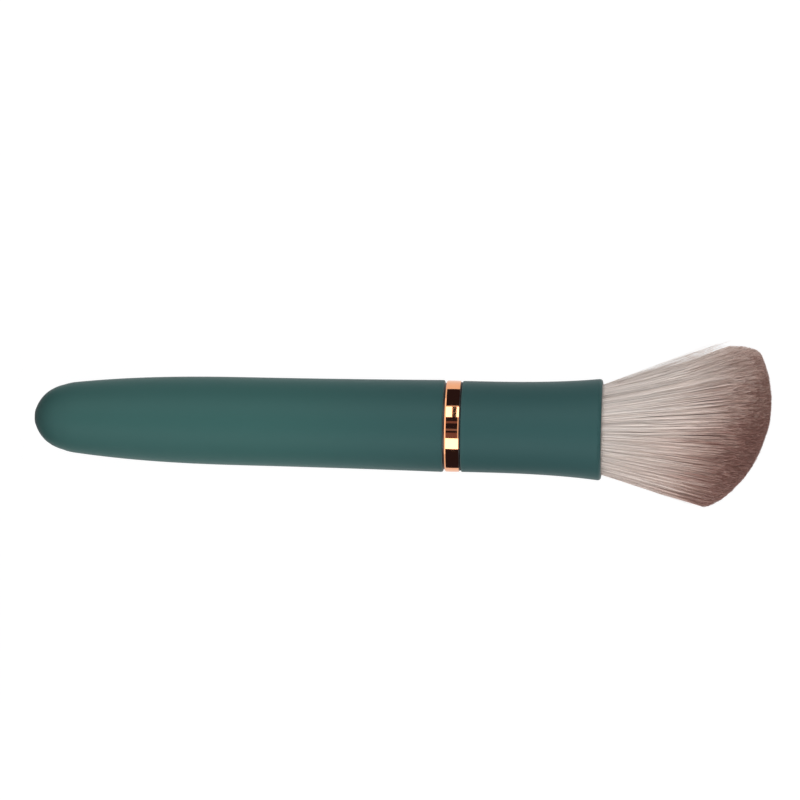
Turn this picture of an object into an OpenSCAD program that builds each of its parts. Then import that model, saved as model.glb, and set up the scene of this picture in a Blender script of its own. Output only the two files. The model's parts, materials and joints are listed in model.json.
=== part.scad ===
// Electric makeup brush with a motor-driven head, laid on a table.
// Lengths are in millimetres. The brush is drawn along +X with the pole of its rounded nose at x = 0,
// and at_rest() lays it down, so that the handle and the bristles both touch the table at z = 0.

/* [Handle] */
// Length of the handle shell, from the pole of the nose to the open end
handle_len = 111.3; // [110.4:0.1:118]
// Length of the rounded nose
nose_len = 11; // [10.5:0.1:12]
// Radius where the nose passes into the long body
nose_r = 9.2; // [9.1:0.05:9.6]
// Radius of the long body at its middle
waist_r = 11.95; // [11.9:0.05:12.3]
// Radius at the open end
collar_r = 12.45; // [12.4:0.05:13]
// Wall thickness of the shell
shell_wall = 1.7; // [1.5:0.05:1.75]
// Radius of the flat at the pole of the nose
tail_flat_r = 2.05; // [2:0.05:2.4]

/* [Trim ring] */
// Width of the polished ring
ring_len = 3.9; // [3.6:0.1:6]
// Shadow gap between the shell and the ring
ring_gap = 0.45; // [0.3:0.05:0.8]
// Running gap between the ring and the turning head
run_gap = 0.45; // [0.3:0.05:0.8]
// Width of the bevel on each edge of the ring
ring_bevel_w = 0.6; // [0.3:0.05:1]
// Depth of that bevel
ring_bevel_d = 0.25; // [0.1:0.05:0.4]

/* [Head sleeve] */
// Length of the sleeve
sleeve_len = 37.9; // [36:0.1:44]
// How far the mouth flares past the straight part
rim_flare = 1.4; // [1.3:0.05:2.5]
// Radius of the bore that takes the hub
sleeve_bore_r = 10.6; // [10.2:0.05:10.9]
// Radius of the rounding on the rim
rim_round = 0.6; // [0.3:0.05:0.6]
// Radius at the open mouth of the bore
mouth_r = 12.5; // [12.3:0.05:12.6]

/* [Bristles] */
// How far the longest bristle stands out of the sleeve
bristle_out = 46; // [40:0.5:52]
// Angle of the outermost bristles to the axis, in degrees
fan_angle = 17.3; // [14:0.1:18]
// Share of the fan angle that is left above and below, where the bundle lies flatter
fan_flat_share = 0.93; // [0.8:0.01:1]
// Angle of the crown of the trimmed tip away from the axis, in degrees
crown_lean = 8; // [0:0.5:10]
// How far the trim falls at ten degrees from the crown
crown_drop = 2.3; // [1:0.1:3]
// How much shorter the outermost bristles are
edge_drop = 4.5; // [2:0.1:6]
// Number of strands
strand_count = 310; // [300:5:320]
// Radius of a strand where it leaves the ferrule
strand_r = 0.45; // [0.3:0.01:0.46]

/* [Tail button] */
// Radius of the button
button_r = 1.8; // [1.6:0.05:1.85]
// Travel of the button
button_travel = 0.5; // [0.3:0.05:0.6]
// How far the button stands out of the flat
button_proud = 0.1; // [0.05:0.05:0.4]
// Length of the button's stem behind its flange
stem_len = 3.4; // [3.2:0.1:3.8]

/* [Motor and gears] */
// Radius of the motor can
motor_r = 7.75; // [7.4:0.05:7.9]
// Length of the motor can
motor_len = 17; // [16:0.1:17.3]
// Gear module
gear_module = 0.45; // [0.43:0.005:0.455]
// Teeth on the motor's pinion
sun_teeth = 12; // [12:12:12]
// Teeth on each planet gear
planet_teeth = 12; // [12:12:12]
// Face width of the planet gears
gear_face = 4.6; // [4:0.1:4.8]
// Radius of the output shaft
shaft_r = 2.5; // [2.2:0.05:2.6]
// Distance across the output shaft's two flats
shaft_flats = 4; // [3.6:0.1:4.2]
// Length of the output shaft past the running gap
shaft_out = 15.4; // [13:0.1:16]

/* [Battery] */
// Radius of the cell
cell_r = 7; // [6.5:0.05:7.1]
// Thickness of the foam pad between the cell and the motor
front_foam_t = 1.45; // [1:0.05:4]

/* [Circuit board] */
// Length of the board
board_len = 20; // [18:0.5:20.5]
// Width of the board
board_w = 12; // [11.4:0.1:12.4]
// Thickness of the board
board_t = 1; // [0.8:0.1:1.2]
// Radius of the charging socket's bore
socket_bore_r = 1.3; // [1.2:0.05:1.4]
// Depth of the charging socket's bore
socket_bore_len = 4.8; // [4:0.1:5.2]

/* [Hidden] */
$fn = 64;
// Clearance of a push fit, of a running fit and of a loose fit
push_fit = 0.03;
run_fit = 0.05;
loose_fit = 0.15;
// How far a cutting tool runs past what it cuts
overrun = 1;

// Shape of the long body
swell_start = 8;
swell_end = 60;
swell_power = 2.5;
flare_start = 50;
nose_steps = 12;
body_steps = 14;
shell_round = 0.5;
round_step = 30;

// Tail button, its seal and its switch
tail_wall = 2;
pocket_r = 3.1;
button_edge = 0.2;
flange_t = 0.8;
stem_r = 1.3;
seal_t = 0.8;
switch_h = 3.4;
switch_w = 4.4;
switch_len = 4;
plunger_r = 0.8;
plunger_show = 0.9;
plunger_in = 1.2;

// Board and what is on it
board_setback = 0.8;
socket_inset = 11;
socket_r = 2.6;
grommet_r = 2.4;
grommet_hole_r = 1.6;
grommet_sink = 0.1;
rail_in = 3.4;
rail_out = 5.2;
rail_h = 2;
rail_setback = 4;
cross_bar_len = 2;
screw_r = 0.6;
screw_head_r = 1.1;
screw_head_h = 0.6;
board_screw_inset = 6;
chip_h = 1.1;
chip_l = 4.6;
chip_w = 3.8;
coil_r = 1.6;
coil_h = 1.8;
part_l = 1.4;
part_w = 0.8;
part_h = 0.6;
part_step = 2.4;
row_step = 1.6;
chip_gap = 0.1;

// Frame that carries the board, the cell and the motor
frame_gap = 0.5;
bulkhead_t = 1.4;
bulkhead_gap = 0.6;
notch_z = 4.4;
notch_w = 10;
frame_ring_gap = 0.1;
frame_ring_len = 4;
rear_foam_t = 1.25;
tab_t = 0.25;
tab_w = 4;
tab_rise = 0.6;
foam_inset = 0.4;
cell_cap_r = 2.8;
cell_cap_h = 0.8;
cell_edge = 0.5;

// Motor
end_cap_t = 1.5;
end_cap_in = 1.6;
can_wall = 0.6;
can_boss_r = 3;
can_boss_h = 0.7;
motor_shaft_r = 1;
terminal_len = 1.8;
terminal_w = 2;
terminal_t = 0.4;
terminal_y = 4.6;
magnet_t = 1.3;
magnet_len = 11.5;
magnet_start = 2.6;
magnet_gap = 0.35;
core_len = 8.5;
core_start = 4.2;
slot_w = 2;
slot_neck_w = 0.9;
hub_core_r = 2;
commutator_r = 1.7;
commutator_len = 1.8;
brush_t = 0.3;
brush_w = 1.2;

// Gear train and its case
plate_t = 1.2;
ring_gear_len = 8;
mouth_wall = 1.9;
case_depth = 4.4;
gap_depth = 0.7;
ring_t = 2.6;
nose_case_r = 5.2;
nose_case_len = 0.4;
case_wall = 1.2;
nose_wall = 0.7;
core_depth = 3;
case_screw_inset = 1.05;
case_screw_shank_r = 0.5;
case_screw_head_r = 0.8;
case_screw_head_h = 0.7;
case_screw_bite = 1.6;
seal_cord_r = 0.5;
seal_back = 1.6;
bush_wall = 0.88;
bush_flange_r = 4.4;
bush_flange_t = 0.8;
washer_r = 4.4;
washer_t = 0.4;
carrier_t = 2;
carrier_r = 7.3;
pin_r = 0.88;
planet_gap = 0.3;
pressure_angle = 20;
addendum_share = 0.8;
dedendum_share = 1.05;
ring_addendum_share = 0.5;
tooth_slack = 0.07;
clip_t = 0.5;
clip_r = 4;
clip_gap = 0.15;
clip_groove = 0.5;
clip_slot_w = 2.2;

// Head
ring_inset = 0.05;
sleeve_inset = 0.05;
sleeve_round = 0.4;
flare_power = 3;
sleeve_steps = 14;
hub_recess = 2.6;
hub_len = 14.3;
hub_boss_r = 5;
hub_rim_t = 1.3;
hub_web_t = 1.5;
hub_rib_t = 1;
hub_ribs = 6;
flats_back = 7.6;
grip_cord_r = 0.48;
grip_back = 3.4;
cup_gap = 0.1;
cup_wall = 0.35;
cup_floor = 0.5;
cup_lip_sink = 1.3;
plug_t = 4.4;
slice_t = 1.5;
slice_sink_share = 0.5;
strand_gap = 0.06;
strand_root_share = 0.88;
strand_wide_share = 1.8;
wide_place_share = 0.7;
golden_angle = 137.508;
twist_angle = 97;
drop_angle = 10;
edge_start_share = 0.8;
edge_power = 3;

// How the brush lies: where the handle touches the table, and how deep the bristles are pressed flat
rest_x = 25;
press_depth = 0.5;

// Leads, as points chosen by hand: x from the end of the cell, of the frame or of the motor, then y and z
lead_r = 0.45;
lead_sides = 6;
lead_substeps = 3;
lead_spans = 4;
red_at_cell = [[0.15, 0, 7.9], [-1.5, 0, 8.15], [-5.5, 0, 8.1]];
red_at_frame = [[6, 0, 8.1], [2, 0, 8.1], [-0.4, 0, 7.4], [-2.4, 0, 4.5], [-3.8, 0, 1.2], [-4.4, 0, -1.6]];
black_at_frame = [[1.4, 1.5, 8.1], [0.2, 1.5, 7.8], [-2.1, 1.4, 5], [-3.5, 1.3, 1.6], [-4.2, 1.3, -1.6]];
motor_at_frame = [
    [-6.5, 3.2, -1.6], [-6.2, 3.2, 1], [-4.4, 3.3, 4.4], [-2, 3.3, 6.9], [1, 3.3, 7.6], [5, 3.3, 7.65]
];
motor_at_motor = [[-9, 3.3, 7.65], [-5, 3.4, 7.6], [-2.4, 4, 7.2], [-1, 4.5, 5.2], [-0.9, 4.6, 1.1]];

// Stations along the axis, worked out from the sizes above
tail_face_x = nose_len * (1 - sqrt(1 - pow(tail_flat_r / nose_r, 2)));
button_face_x = tail_face_x - button_proud;
seal_x = tail_face_x + tail_wall;
flange_x = seal_x + seal_t;
stem_end_x = flange_x + flange_t + stem_len;
switch_x = stem_end_x + plunger_show;
board_x = switch_x + board_setback;
board_end_x = board_x + board_len;
board_top_z = -switch_h / 2;
board_under_z = board_top_z - board_t;
socket_x = board_x + socket_inset;
frame_x = board_end_x + bulkhead_gap + bulkhead_t;
cell_x = frame_x + rear_foam_t + tab_t;
case_x = handle_len - case_depth;
ring_gear_x = case_x - ring_gear_len;
plate_x = ring_gear_x - plate_t;
motor_x = plate_x - motor_len;
end_cap_x = motor_x - end_cap_t;
// The cell is as long as the room between the board and the motor allows
cell_end_x = end_cap_x - terminal_len - push_fit - front_foam_t - tab_t;
frame_ring_x = plate_x - frame_ring_len;
mouth_x = frame_ring_x - loose_fit;
planet_x = ring_gear_x + planet_gap;
carrier_x = planet_x + gear_face + planet_gap;
washer_x = case_x - washer_t;
ring_x = handle_len + ring_gap;
head_x = ring_x + ring_len + run_gap;
head_end_x = head_x + sleeve_len;
shaft_end_x = head_x + shaft_out;
flats_x = shaft_end_x - flats_back;
hub_x = head_x + hub_recess;
hub_end_x = hub_x + hub_len;
grip_x = hub_x + grip_back;
cup_x = hub_end_x + cup_gap;
cup_end_x = head_end_x - cup_lip_sink;
plug_x = cup_x + cup_floor;
slice_x = plug_x + plug_t;
spigot_end_x = ring_x + ring_len;
case_nose_x = spigot_end_x + nose_case_len;
clip_x = case_nose_x + clip_gap;
bush_end_x = case_nose_x - push_fit;
seal_groove_x = handle_len - seal_back;

// Radii worked out from the sizes above
case_bore_r = collar_r - mouth_wall;
case_r = case_bore_r - run_fit;
ring_r = collar_r - ring_inset;
flange_r = ring_r - gap_depth;
spigot_r = ring_r - ring_t;
core_out_r = spigot_r - case_wall;
core_in_r = nose_case_r + nose_wall;
frame_ring_r = case_r - frame_ring_gap;
tab_top = cell_r + tab_rise;
foam_r = cell_r - foam_inset;
board_screw_y = (rail_in + rail_out) / 2;
sleeve_r = collar_r - sleeve_inset;
hub_r = sleeve_bore_r - push_fit;
bush_r = shaft_r + run_fit / 2 + bush_wall;
ring_teeth = sun_teeth + 2 * planet_teeth;
sun_pitch_r = gear_module * sun_teeth / 2;
planet_pitch_r = gear_module * planet_teeth / 2;
ring_pitch_r = gear_module * ring_teeth / 2;
planet_circle = sun_pitch_r + planet_pitch_r;
ring_root_r = ring_pitch_r + gear_module * dedendum_share;
case_screw_circle = case_r - case_screw_inset;

function limit(value) = min(1, max(0, value));
function nose_part(x) = x < nose_len ? nose_r * sqrt(1 - pow((nose_len - x) / nose_len, 2)) : nose_r;
function swell_part(x) = (waist_r - nose_r)
    * (1 - pow(1 - limit((x - swell_start) / (swell_end - swell_start)), swell_power));
function flare_part(x) = (collar_r - waist_r) * pow(limit((x - flare_start) / (handle_len - flare_start)), 2);
// Outer radius of the handle, and of the hollow inside it, at a place along the axis
function handle_r(x) = nose_part(x) + swell_part(x) + flare_part(x);
function hollow_r(x) = handle_r(x - shell_wall) - shell_wall;
frame_r = hollow_r(frame_x - bulkhead_t) - frame_gap;
// Outer radius of the sleeve, and of the ferrule cup in it
function sleeve_out_r(x) = sleeve_r + rim_flare * pow(limit((x - head_x) / sleeve_len), flare_power);
function cup_out_r(x) = sleeve_bore_r - push_fit
    + (mouth_r - sleeve_bore_r) * limit((x - cup_x) / (cup_end_x - cup_x));
function cup_in_r(x) = cup_out_r(x) - cup_wall;

// Places along the axis at which a curved outline is drawn
nose_angle = acos(1 - tail_face_x / nose_len);
nose_xs = [for (i = [0:nose_steps]) nose_len * (1 - cos(nose_angle + (90 - nose_angle) * i / nose_steps))];
body_end_x = handle_len - shell_round;
body_xs = [for (i = [1:body_steps]) nose_len + (body_end_x - nose_len) * pow(i / body_steps, 1.3)];
outline_xs = concat(nose_xs, body_xs);
hollow_start_x = flange_x + loose_fit;
hollow_xs = [for (i = [0:body_steps]) hollow_start_x + (mouth_x - hollow_start_x) * pow(i / body_steps, 1.8)];
sleeve_xs = [for (i = [0:sleeve_steps]) head_x + sleeve_round
    + (sleeve_len - sleeve_round - rim_round) * i / sleeve_steps];

// One strand is a list of its centre points: inside the slice, at the mouth, where it is widest, and its tip
root_x = slice_x + slice_t * slice_sink_share;
root_r = cup_in_r(root_x) - strand_r * strand_root_share - strand_gap;
fan_r = cup_in_r(cup_end_x) - strand_r - strand_gap;
fan_centre_x = cup_end_x - fan_r / tan(fan_angle);
reach = head_end_x + bristle_out - fan_centre_x;
function strand_share(i) = sqrt((i + 0.5) / strand_count);
function strand_turn(i) = i * golden_angle;
function trim(share, lean_y, lean_z) = reach
    - crown_drop * (pow(lean_y - crown_lean, 2) + pow(lean_z, 2)) / pow(drop_angle, 2)
    - edge_drop * pow(limit((share - edge_start_share) / (1 - edge_start_share)), edge_power);
function strand_tip(share, turn) =
    let (lean_y = fan_angle * share * cos(turn), lean_z = fan_angle * fan_flat_share * share * sin(turn))
    let (lean = sqrt(lean_y * lean_y + lean_z * lean_z), long = trim(share, lean_y, lean_z))
    [fan_centre_x + long * cos(lean), long * sin(lean) * lean_y / max(lean, 1e-6),
     long * sin(lean) * lean_z / max(lean, 1e-6)];
function strand(i) =
    let (share = strand_share(i), turn = strand_turn(i), tip = strand_tip(share, turn))
    let (out = [cup_end_x, fan_r * share * cos(turn), fan_r * share * sin(turn)])
    [[root_x, root_r * share * cos(turn), root_r * share * sin(turn)], out,
     out + (tip - out) * wide_place_share, tip];
strand_radii = [strand_r * strand_root_share, strand_r, strand_r * strand_wide_share];
tips = [for (i = [0:strand_count - 1]) strand_tip(strand_share(i), strand_turn(i))];

// How the brush lies on the table, and where the origin is under it
rest_r = handle_r(rest_x);
rest_tilt = max([for (tip = tips) atan2(-tip.z - press_depth - rest_r, tip.x - rest_x)]);
rest_lift = max([for (x = outline_xs) handle_r(x) * cos(rest_tilt) - x * sin(rest_tilt)]);
origin_x = (max([for (tip = tips) tip.x * cos(rest_tilt) - tip.z * sin(rest_tilt)])
    + button_face_x * cos(rest_tilt)) / 2;
origin_y = (max([for (tip = tips) tip.y]) + min([for (tip = tips) tip.y])) / 2;

module at_rest() {
    translate([-origin_x, -origin_y, rest_lift])
        rotate([0, -rest_tilt, 0])
            children();
}

// Turns a shape that is drawn along +Z so that it runs along +X from a place on the axis
module along(x) {
    translate([x, 0, 0])
        rotate([0, 90, 0])
            children();
}

module disc(x, len, r) {
    along(x) cylinder(h = len, r = r);
}

module tube(x, len, r_out, r_in) {
    difference() {
        disc(x, len, r_out);
        disc(x - overrun, len + 2 * overrun, r_in);
    }
}

// Turned piece, from its outline as pairs of place along the axis and radius
module turned(outline) {
    along(0) rotate_extrude() polygon([for (p = outline) [p[1], p[0]]]);
}

module box(x, y, z, size) {
    translate([x, y - size.y / 2, z]) cube(size);
}

// Quarter round at an outer edge that faces +X
function front_round(x, r, e) = [for (a = [0:round_step:90]) [x - e + e * sin(a), r - e + e * cos(a)]];
// Quarter round at an outer edge that faces -X
function back_round(x, r, e) = [for (a = [90:-round_step:0]) [x + e - e * sin(a), r - e + e * cos(a)]];

module ring_of(count, circle) {
    for (i = [0:count - 1]) rotate([0, 0, 360 * i / count]) translate([circle, 0, 0]) children();
}

module handle_shell() {
    color([0.13, 0.27, 0.26])
        difference() {
            turned(concat(
                [[tail_face_x, 0]],
                [for (x = outline_xs) [x, handle_r(x)]],
                front_round(handle_len, collar_r, shell_round),
                [[handle_len, case_bore_r], [mouth_x, case_bore_r]],
                [for (i = [body_steps:-1:0]) [hollow_xs[i], hollow_r(hollow_xs[i])]],
                [[hollow_start_x, pocket_r], [seal_x, pocket_r], [seal_x, 0]]
            ));
            disc(0, seal_x + overrun, button_r + run_fit);
            translate([socket_x, 0, 0]) rotate([180, 0, 0]) cylinder(h = collar_r, r = grommet_r + run_fit);
        }
}

module trim_ring() {
    color([0.8, 0.45, 0.33])
        turned([
            [ring_x, spigot_r + push_fit],
            [ring_x, ring_r - ring_bevel_d],
            [ring_x + ring_bevel_w, ring_r],
            [spigot_end_x - ring_bevel_w, ring_r],
            [spigot_end_x, ring_r - ring_bevel_d],
            [spigot_end_x, spigot_r + push_fit]
        ]);
}

module front_case() {
    color([0.1, 0.1, 0.11])
        difference() {
            turned([
                [case_x, 0],
                [case_x, case_r],
                [handle_len, case_r],
                [handle_len, flange_r],
                [ring_x, flange_r],
                [ring_x, spigot_r],
                [spigot_end_x, spigot_r],
                [spigot_end_x, nose_case_r],
                [case_nose_x, nose_case_r],
                [case_nose_x, 0]
            ]);
            disc(case_x - overrun, case_nose_x - case_x + 2 * overrun, bush_r + push_fit);
            disc(case_x - overrun, bush_flange_t + overrun, bush_flange_r + push_fit);
            tube(spigot_end_x - core_depth, core_depth + overrun, core_out_r, core_in_r);
            tube(seal_groove_x - seal_cord_r - run_fit, 2 * (seal_cord_r + run_fit), case_r + overrun,
                case_bore_r - 2 * seal_cord_r - push_fit);
            along(case_x - overrun)
                ring_of(3, case_screw_circle)
                    cylinder(h = case_screw_bite + overrun, r = case_screw_shank_r + push_fit);
        }
}

module case_seal() {
    cord_r = seal_cord_r - push_fit / 2;
    color([0.05, 0.05, 0.05])
        along(seal_groove_x)
            rotate_extrude() translate([case_bore_r - seal_cord_r - push_fit / 2, 0]) circle(r = cord_r);
}

module output_bush() {
    color([0.72, 0.55, 0.3])
        difference() {
            union() {
                disc(case_x, bush_flange_t - push_fit, bush_flange_r);
                disc(case_x, bush_end_x - case_x, bush_r);
            }
            disc(case_x - overrun, bush_end_x - case_x + 2 * overrun, shaft_r + run_fit / 2);
        }
}

module thrust_washer() {
    color([0.85, 0.84, 0.8])
        tube(washer_x, washer_t - push_fit, washer_r, shaft_r + run_fit);
}

// Rolls of a tooth's flank: the angle from the middle of a tooth to its flank at radius r
function involute(a) = tan(a) * 180 / PI - a;
function flank(r, teeth, slack) =
    let (pitch_r = gear_module * teeth / 2, base_r = pitch_r * cos(pressure_angle))
    90 / teeth + slack * 180 / (PI * pitch_r) + involute(pressure_angle) - involute(acos(min(1, base_r / r)));
function gear_outline(teeth, root, tip, slack) =
    let (radii = [root, root + (tip - root) * 0.35, root + (tip - root) * 0.7, tip])
    [for (k = [0:teeth - 1], side = [-1, 1], j = [0:3])
        let (r = side < 0 ? radii[j] : radii[3 - j], a = 360 * k / teeth + side * flank(r, teeth, slack))
        r * [cos(a), sin(a)]];

module outer_gear(teeth, bore_r, width) {
    pitch_r = gear_module * teeth / 2;
    difference() {
        linear_extrude(height = width)
            polygon(gear_outline(teeth, pitch_r - gear_module * dedendum_share,
                pitch_r + gear_module * addendum_share, -tooth_slack));
        translate([0, 0, -overrun]) cylinder(h = width + 2 * overrun, r = bore_r);
    }
}

module ring_gear() {
    color([0.75, 0.76, 0.72])
        along(ring_gear_x)
            difference() {
                cylinder(h = ring_gear_len, r = case_r);
                translate([0, 0, -overrun])
                    linear_extrude(height = ring_gear_len + 2 * overrun)
                        rotate([0, 0, 180 / ring_teeth])
                            polygon(gear_outline(ring_teeth, ring_pitch_r - gear_module * ring_addendum_share,
                                ring_root_r, tooth_slack));
                translate([0, 0, -overrun])
                    ring_of(3, case_screw_circle) cylinder(h = ring_gear_len + 2 * overrun, r = screw_r);
            }
}

module motor_plate() {
    color([0.6, 0.61, 0.63])
        along(plate_x)
            difference() {
                cylinder(h = plate_t, r = case_r);
                translate([0, 0, -overrun]) cylinder(h = plate_t + 2 * overrun, r = can_boss_r + run_fit);
                translate([0, 0, -overrun])
                    ring_of(3, case_screw_circle) cylinder(h = plate_t + 2 * overrun, r = screw_r);
            }
}

// Three long screws hold the frame, the plate, the ring gear and the case together
module case_screws() {
    head_x = frame_ring_x + push_fit;
    color([0.3, 0.3, 0.32])
        along(head_x)
            ring_of(3, case_screw_circle)
                difference() {
                    union() {
                        cylinder(h = case_screw_head_h, r = case_screw_head_r);
                        cylinder(h = case_x + case_screw_bite - push_fit - head_x, r = case_screw_shank_r);
                    }
                    translate([0, 0, -overrun])
                        cylinder(h = case_screw_head_h / 2 + overrun, r = case_screw_head_r / 2, $fn = 6);
                }
}

module inner_frame() {
    half_room = 2 * frame_r + 2 * overrun;
    color([0.86, 0.86, 0.84])
        difference() {
            union() {
                disc(frame_x - bulkhead_t, bulkhead_t, frame_r);
                intersection() {
                    disc(frame_x - bulkhead_t, plate_x - frame_x + bulkhead_t, frame_r);
                    box(frame_x - bulkhead_t, 0, -frame_r - overrun, [handle_len, half_room, frame_r]);
                }
                disc(frame_ring_x, frame_ring_len, frame_ring_r);
                for (side = [-1, 1])
                    box(board_x + rail_setback, side * (rail_in + rail_out) / 2, board_under_z - rail_h,
                        [frame_x - board_x - rail_setback, rail_out - rail_in, rail_h]);
                box(board_x + rail_setback, 0, board_under_z - rail_h, [cross_bar_len, 2 * rail_out, rail_h]);
            }
            disc(frame_x, motor_x - frame_x, cell_r + loose_fit);
            disc(end_cap_x - loose_fit, handle_len, motor_r + loose_fit);
            disc(cell_end_x, motor_x - cell_end_x, motor_r + loose_fit);
            box(frame_x - bulkhead_t - overrun, 0, notch_z, [bulkhead_t + 2 * overrun, notch_w, frame_r]);
            along(frame_ring_x - overrun)
                ring_of(3, case_screw_circle) {
                    cylinder(h = frame_ring_len + 2 * overrun, r = screw_r);
                    cylinder(h = case_screw_head_h + overrun + 2 * push_fit, r = case_screw_head_r + run_fit);
                }
            for (place = board_screw_places)
                translate([place.x, place.y, board_under_z - rail_h + push_fit])
                    cylinder(h = rail_h, r = screw_r - loose_fit + push_fit);
        }
}

module motor_can() {
    color([0.7, 0.71, 0.73])
        difference() {
            union() {
                disc(motor_x, motor_len, motor_r);
                disc(plate_x - can_wall, can_wall + can_boss_h, can_boss_r);
            }
            disc(motor_x - overrun, motor_len - can_wall + overrun, motor_r - can_wall);
            disc(motor_x, motor_len + can_boss_h + overrun, motor_shaft_r + 2 * loose_fit);
        }
}

module motor_bush() {
    out_r = motor_shaft_r + 2 * loose_fit - push_fit;
    color([0.72, 0.55, 0.3])
        tube(plate_x - can_wall, can_wall + can_boss_h, out_r, motor_shaft_r + run_fit);
}

module motor_magnets() {
    out_r = motor_r - can_wall - push_fit;
    color([0.2, 0.2, 0.21])
        difference() {
            tube(motor_x + magnet_start, magnet_len, out_r, out_r - magnet_t);
            box(motor_x, 0, -motor_r, [motor_len, terminal_w, 2 * motor_r]);
        }
}

module motor_end_cap() {
    color([0.92, 0.9, 0.84])
        difference() {
            union() {
                disc(end_cap_x, end_cap_t, motor_r);
                disc(motor_x - end_cap_t / 2, end_cap_in + end_cap_t / 2, motor_r - can_wall - push_fit);
            }
            disc(motor_x - end_cap_t / 2, end_cap_in + end_cap_t, commutator_r + magnet_t);
            disc(end_cap_x - overrun, end_cap_t + overrun, motor_shaft_r + run_fit);
            for (side = [-1, 1])
                box(end_cap_x - overrun, side * terminal_y, -terminal_w / 2 - push_fit,
                    [end_cap_t / 2 + overrun, terminal_t + 2 * push_fit, terminal_w + 2 * push_fit]);
        }
}

module motor_terminals() {
    color([0.83, 0.66, 0.36])
        for (side = [-1, 1])
            box(end_cap_x - terminal_len, side * terminal_y, -terminal_w / 2,
                [terminal_len + end_cap_t / 2, terminal_t, terminal_w]);
}

module motor_brushes() {
    color([0.78, 0.5, 0.3])
        for (side = [-1, 1])
            box(motor_x + push_fit, side * (commutator_r + run_fit + brush_t / 2), -brush_w / 2,
                [end_cap_in - push_fit, brush_t, brush_w]);
}

module battery_cell() {
    color([0.15, 0.35, 0.6])
        union() {
            turned(concat(
                [[cell_x, 0]],
                back_round(cell_x, cell_r, cell_edge),
                front_round(cell_end_x - cell_cap_h, cell_r, cell_edge),
                [[cell_end_x - cell_cap_h, 0]]
            ));
            disc(cell_end_x - cell_cap_h - push_fit, cell_cap_h + push_fit, cell_cap_r);
        }
}

module battery_tabs() {
    color([0.75, 0.75, 0.72])
        for (x = [cell_x - tab_t, cell_end_x])
            box(x, 0, -tab_w / 2, [tab_t, tab_w, tab_top + tab_w / 2]);
}

module rear_foam_pad() {
    color([0.25, 0.25, 0.26])
        disc(frame_x, rear_foam_t, foam_r);
}

module front_foam_pad() {
    color([0.25, 0.25, 0.26])
        disc(cell_end_x + tab_t, front_foam_t, foam_r);
}

board_screw_places = [
    [board_x + board_screw_inset, board_screw_y],
    [board_end_x - board_screw_inset, -board_screw_y]
];

module control_board() {
    color([0.05, 0.3, 0.16])
        difference() {
            box(board_x, 0, board_under_z, [board_len, board_w, board_t]);
            for (place = board_screw_places)
                translate([place.x, place.y, board_under_z - overrun])
                    cylinder(h = board_t + 2 * overrun, r = screw_r);
        }
}

// Charging chip, motor driver, coil and two rows of small parts
module board_chips() {
    row_x = board_x + switch_len + part_l;
    chip_x = board_end_x - board_screw_inset - screw_head_r - chip_gap - chip_l;
    color([0.09, 0.09, 0.1])
        union() {
            box(chip_x, -board_w / 4 + part_w / 2, board_top_z, [chip_l, chip_w, chip_h]);
            translate([chip_x + chip_l + coil_r, 0, board_top_z]) cylinder(h = coil_h, r = coil_r);
            for (i = [0:2])
                box(chip_x + part_step * i, board_w / 5, board_top_z, [part_l, part_w, part_h]);
            for (side = [-1, 1])
                box(row_x, side * row_step, board_top_z, [part_w, part_l, part_h]);
        }
}

module board_screws() {
    color([0.7, 0.7, 0.72])
        for (place = board_screw_places)
            translate([place.x, place.y, 0])
                difference() {
                    union() {
                        translate([0, 0, board_under_z - rail_h + 2 * push_fit])
                            cylinder(h = rail_h + board_t, r = screw_r - loose_fit);
                        translate([0, 0, board_top_z]) cylinder(h = screw_head_h, r = screw_head_r);
                    }
                    translate([0, 0, board_top_z + screw_head_h / 2])
                        cylinder(h = screw_head_h, r = screw_r, $fn = 6);
                }
}

module tact_switch() {
    color([0.12, 0.12, 0.13])
        difference() {
            box(switch_x, 0, board_top_z, [switch_len, switch_w, switch_h]);
            disc(switch_x - overrun, plunger_in + button_travel + run_fit + overrun, plunger_r + run_fit);
        }
}

module switch_plunger() {
    color([0.85, 0.83, 0.78])
        disc(stem_end_x, plunger_show + plunger_in, plunger_r);
}

// The socket hangs under the board, and its bore opens downwards through the grommet in the shell
socket_reach = sqrt(pow(hollow_r(socket_x), 2) - pow(socket_r, 2)) - loose_fit;
grommet_reach = sqrt(pow(handle_r(socket_x), 2) - pow(grommet_r, 2)) - grommet_sink;

module charge_socket() {
    color([0.08, 0.08, 0.09])
        translate([socket_x, 0, 0])
            rotate([180, 0, 0])
                difference() {
                    translate([0, 0, -board_under_z]) cylinder(h = socket_reach + board_under_z, r = socket_r);
                    translate([0, 0, socket_reach - socket_bore_len])
                        cylinder(h = socket_bore_len + overrun, r = socket_bore_r);
                }
}

module port_grommet() {
    color([0.09, 0.12, 0.12])
        translate([socket_x, 0, 0])
            rotate([180, 0, 0])
                difference() {
                    translate([0, 0, socket_reach + loose_fit])
                        cylinder(h = grommet_reach - socket_reach - loose_fit, r = grommet_r);
                    translate([0, 0, socket_reach - overrun]) cylinder(h = collar_r, r = grommet_hole_r);
                }
}

module button_seal() {
    color([0.06, 0.06, 0.07])
        tube(seal_x, seal_t, pocket_r - push_fit, button_r + run_fit);
}

module tail_button() {
    color([0.07, 0.13, 0.13])
        turned(concat(
            [[button_face_x, 0]],
            back_round(button_face_x, button_r, button_edge),
            [[flange_x, button_r], [flange_x, pocket_r - loose_fit]],
            [[flange_x + flange_t, pocket_r - loose_fit], [flange_x + flange_t, stem_r]],
            [[stem_end_x, stem_r], [stem_end_x, 0]]
        ));
}

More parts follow.
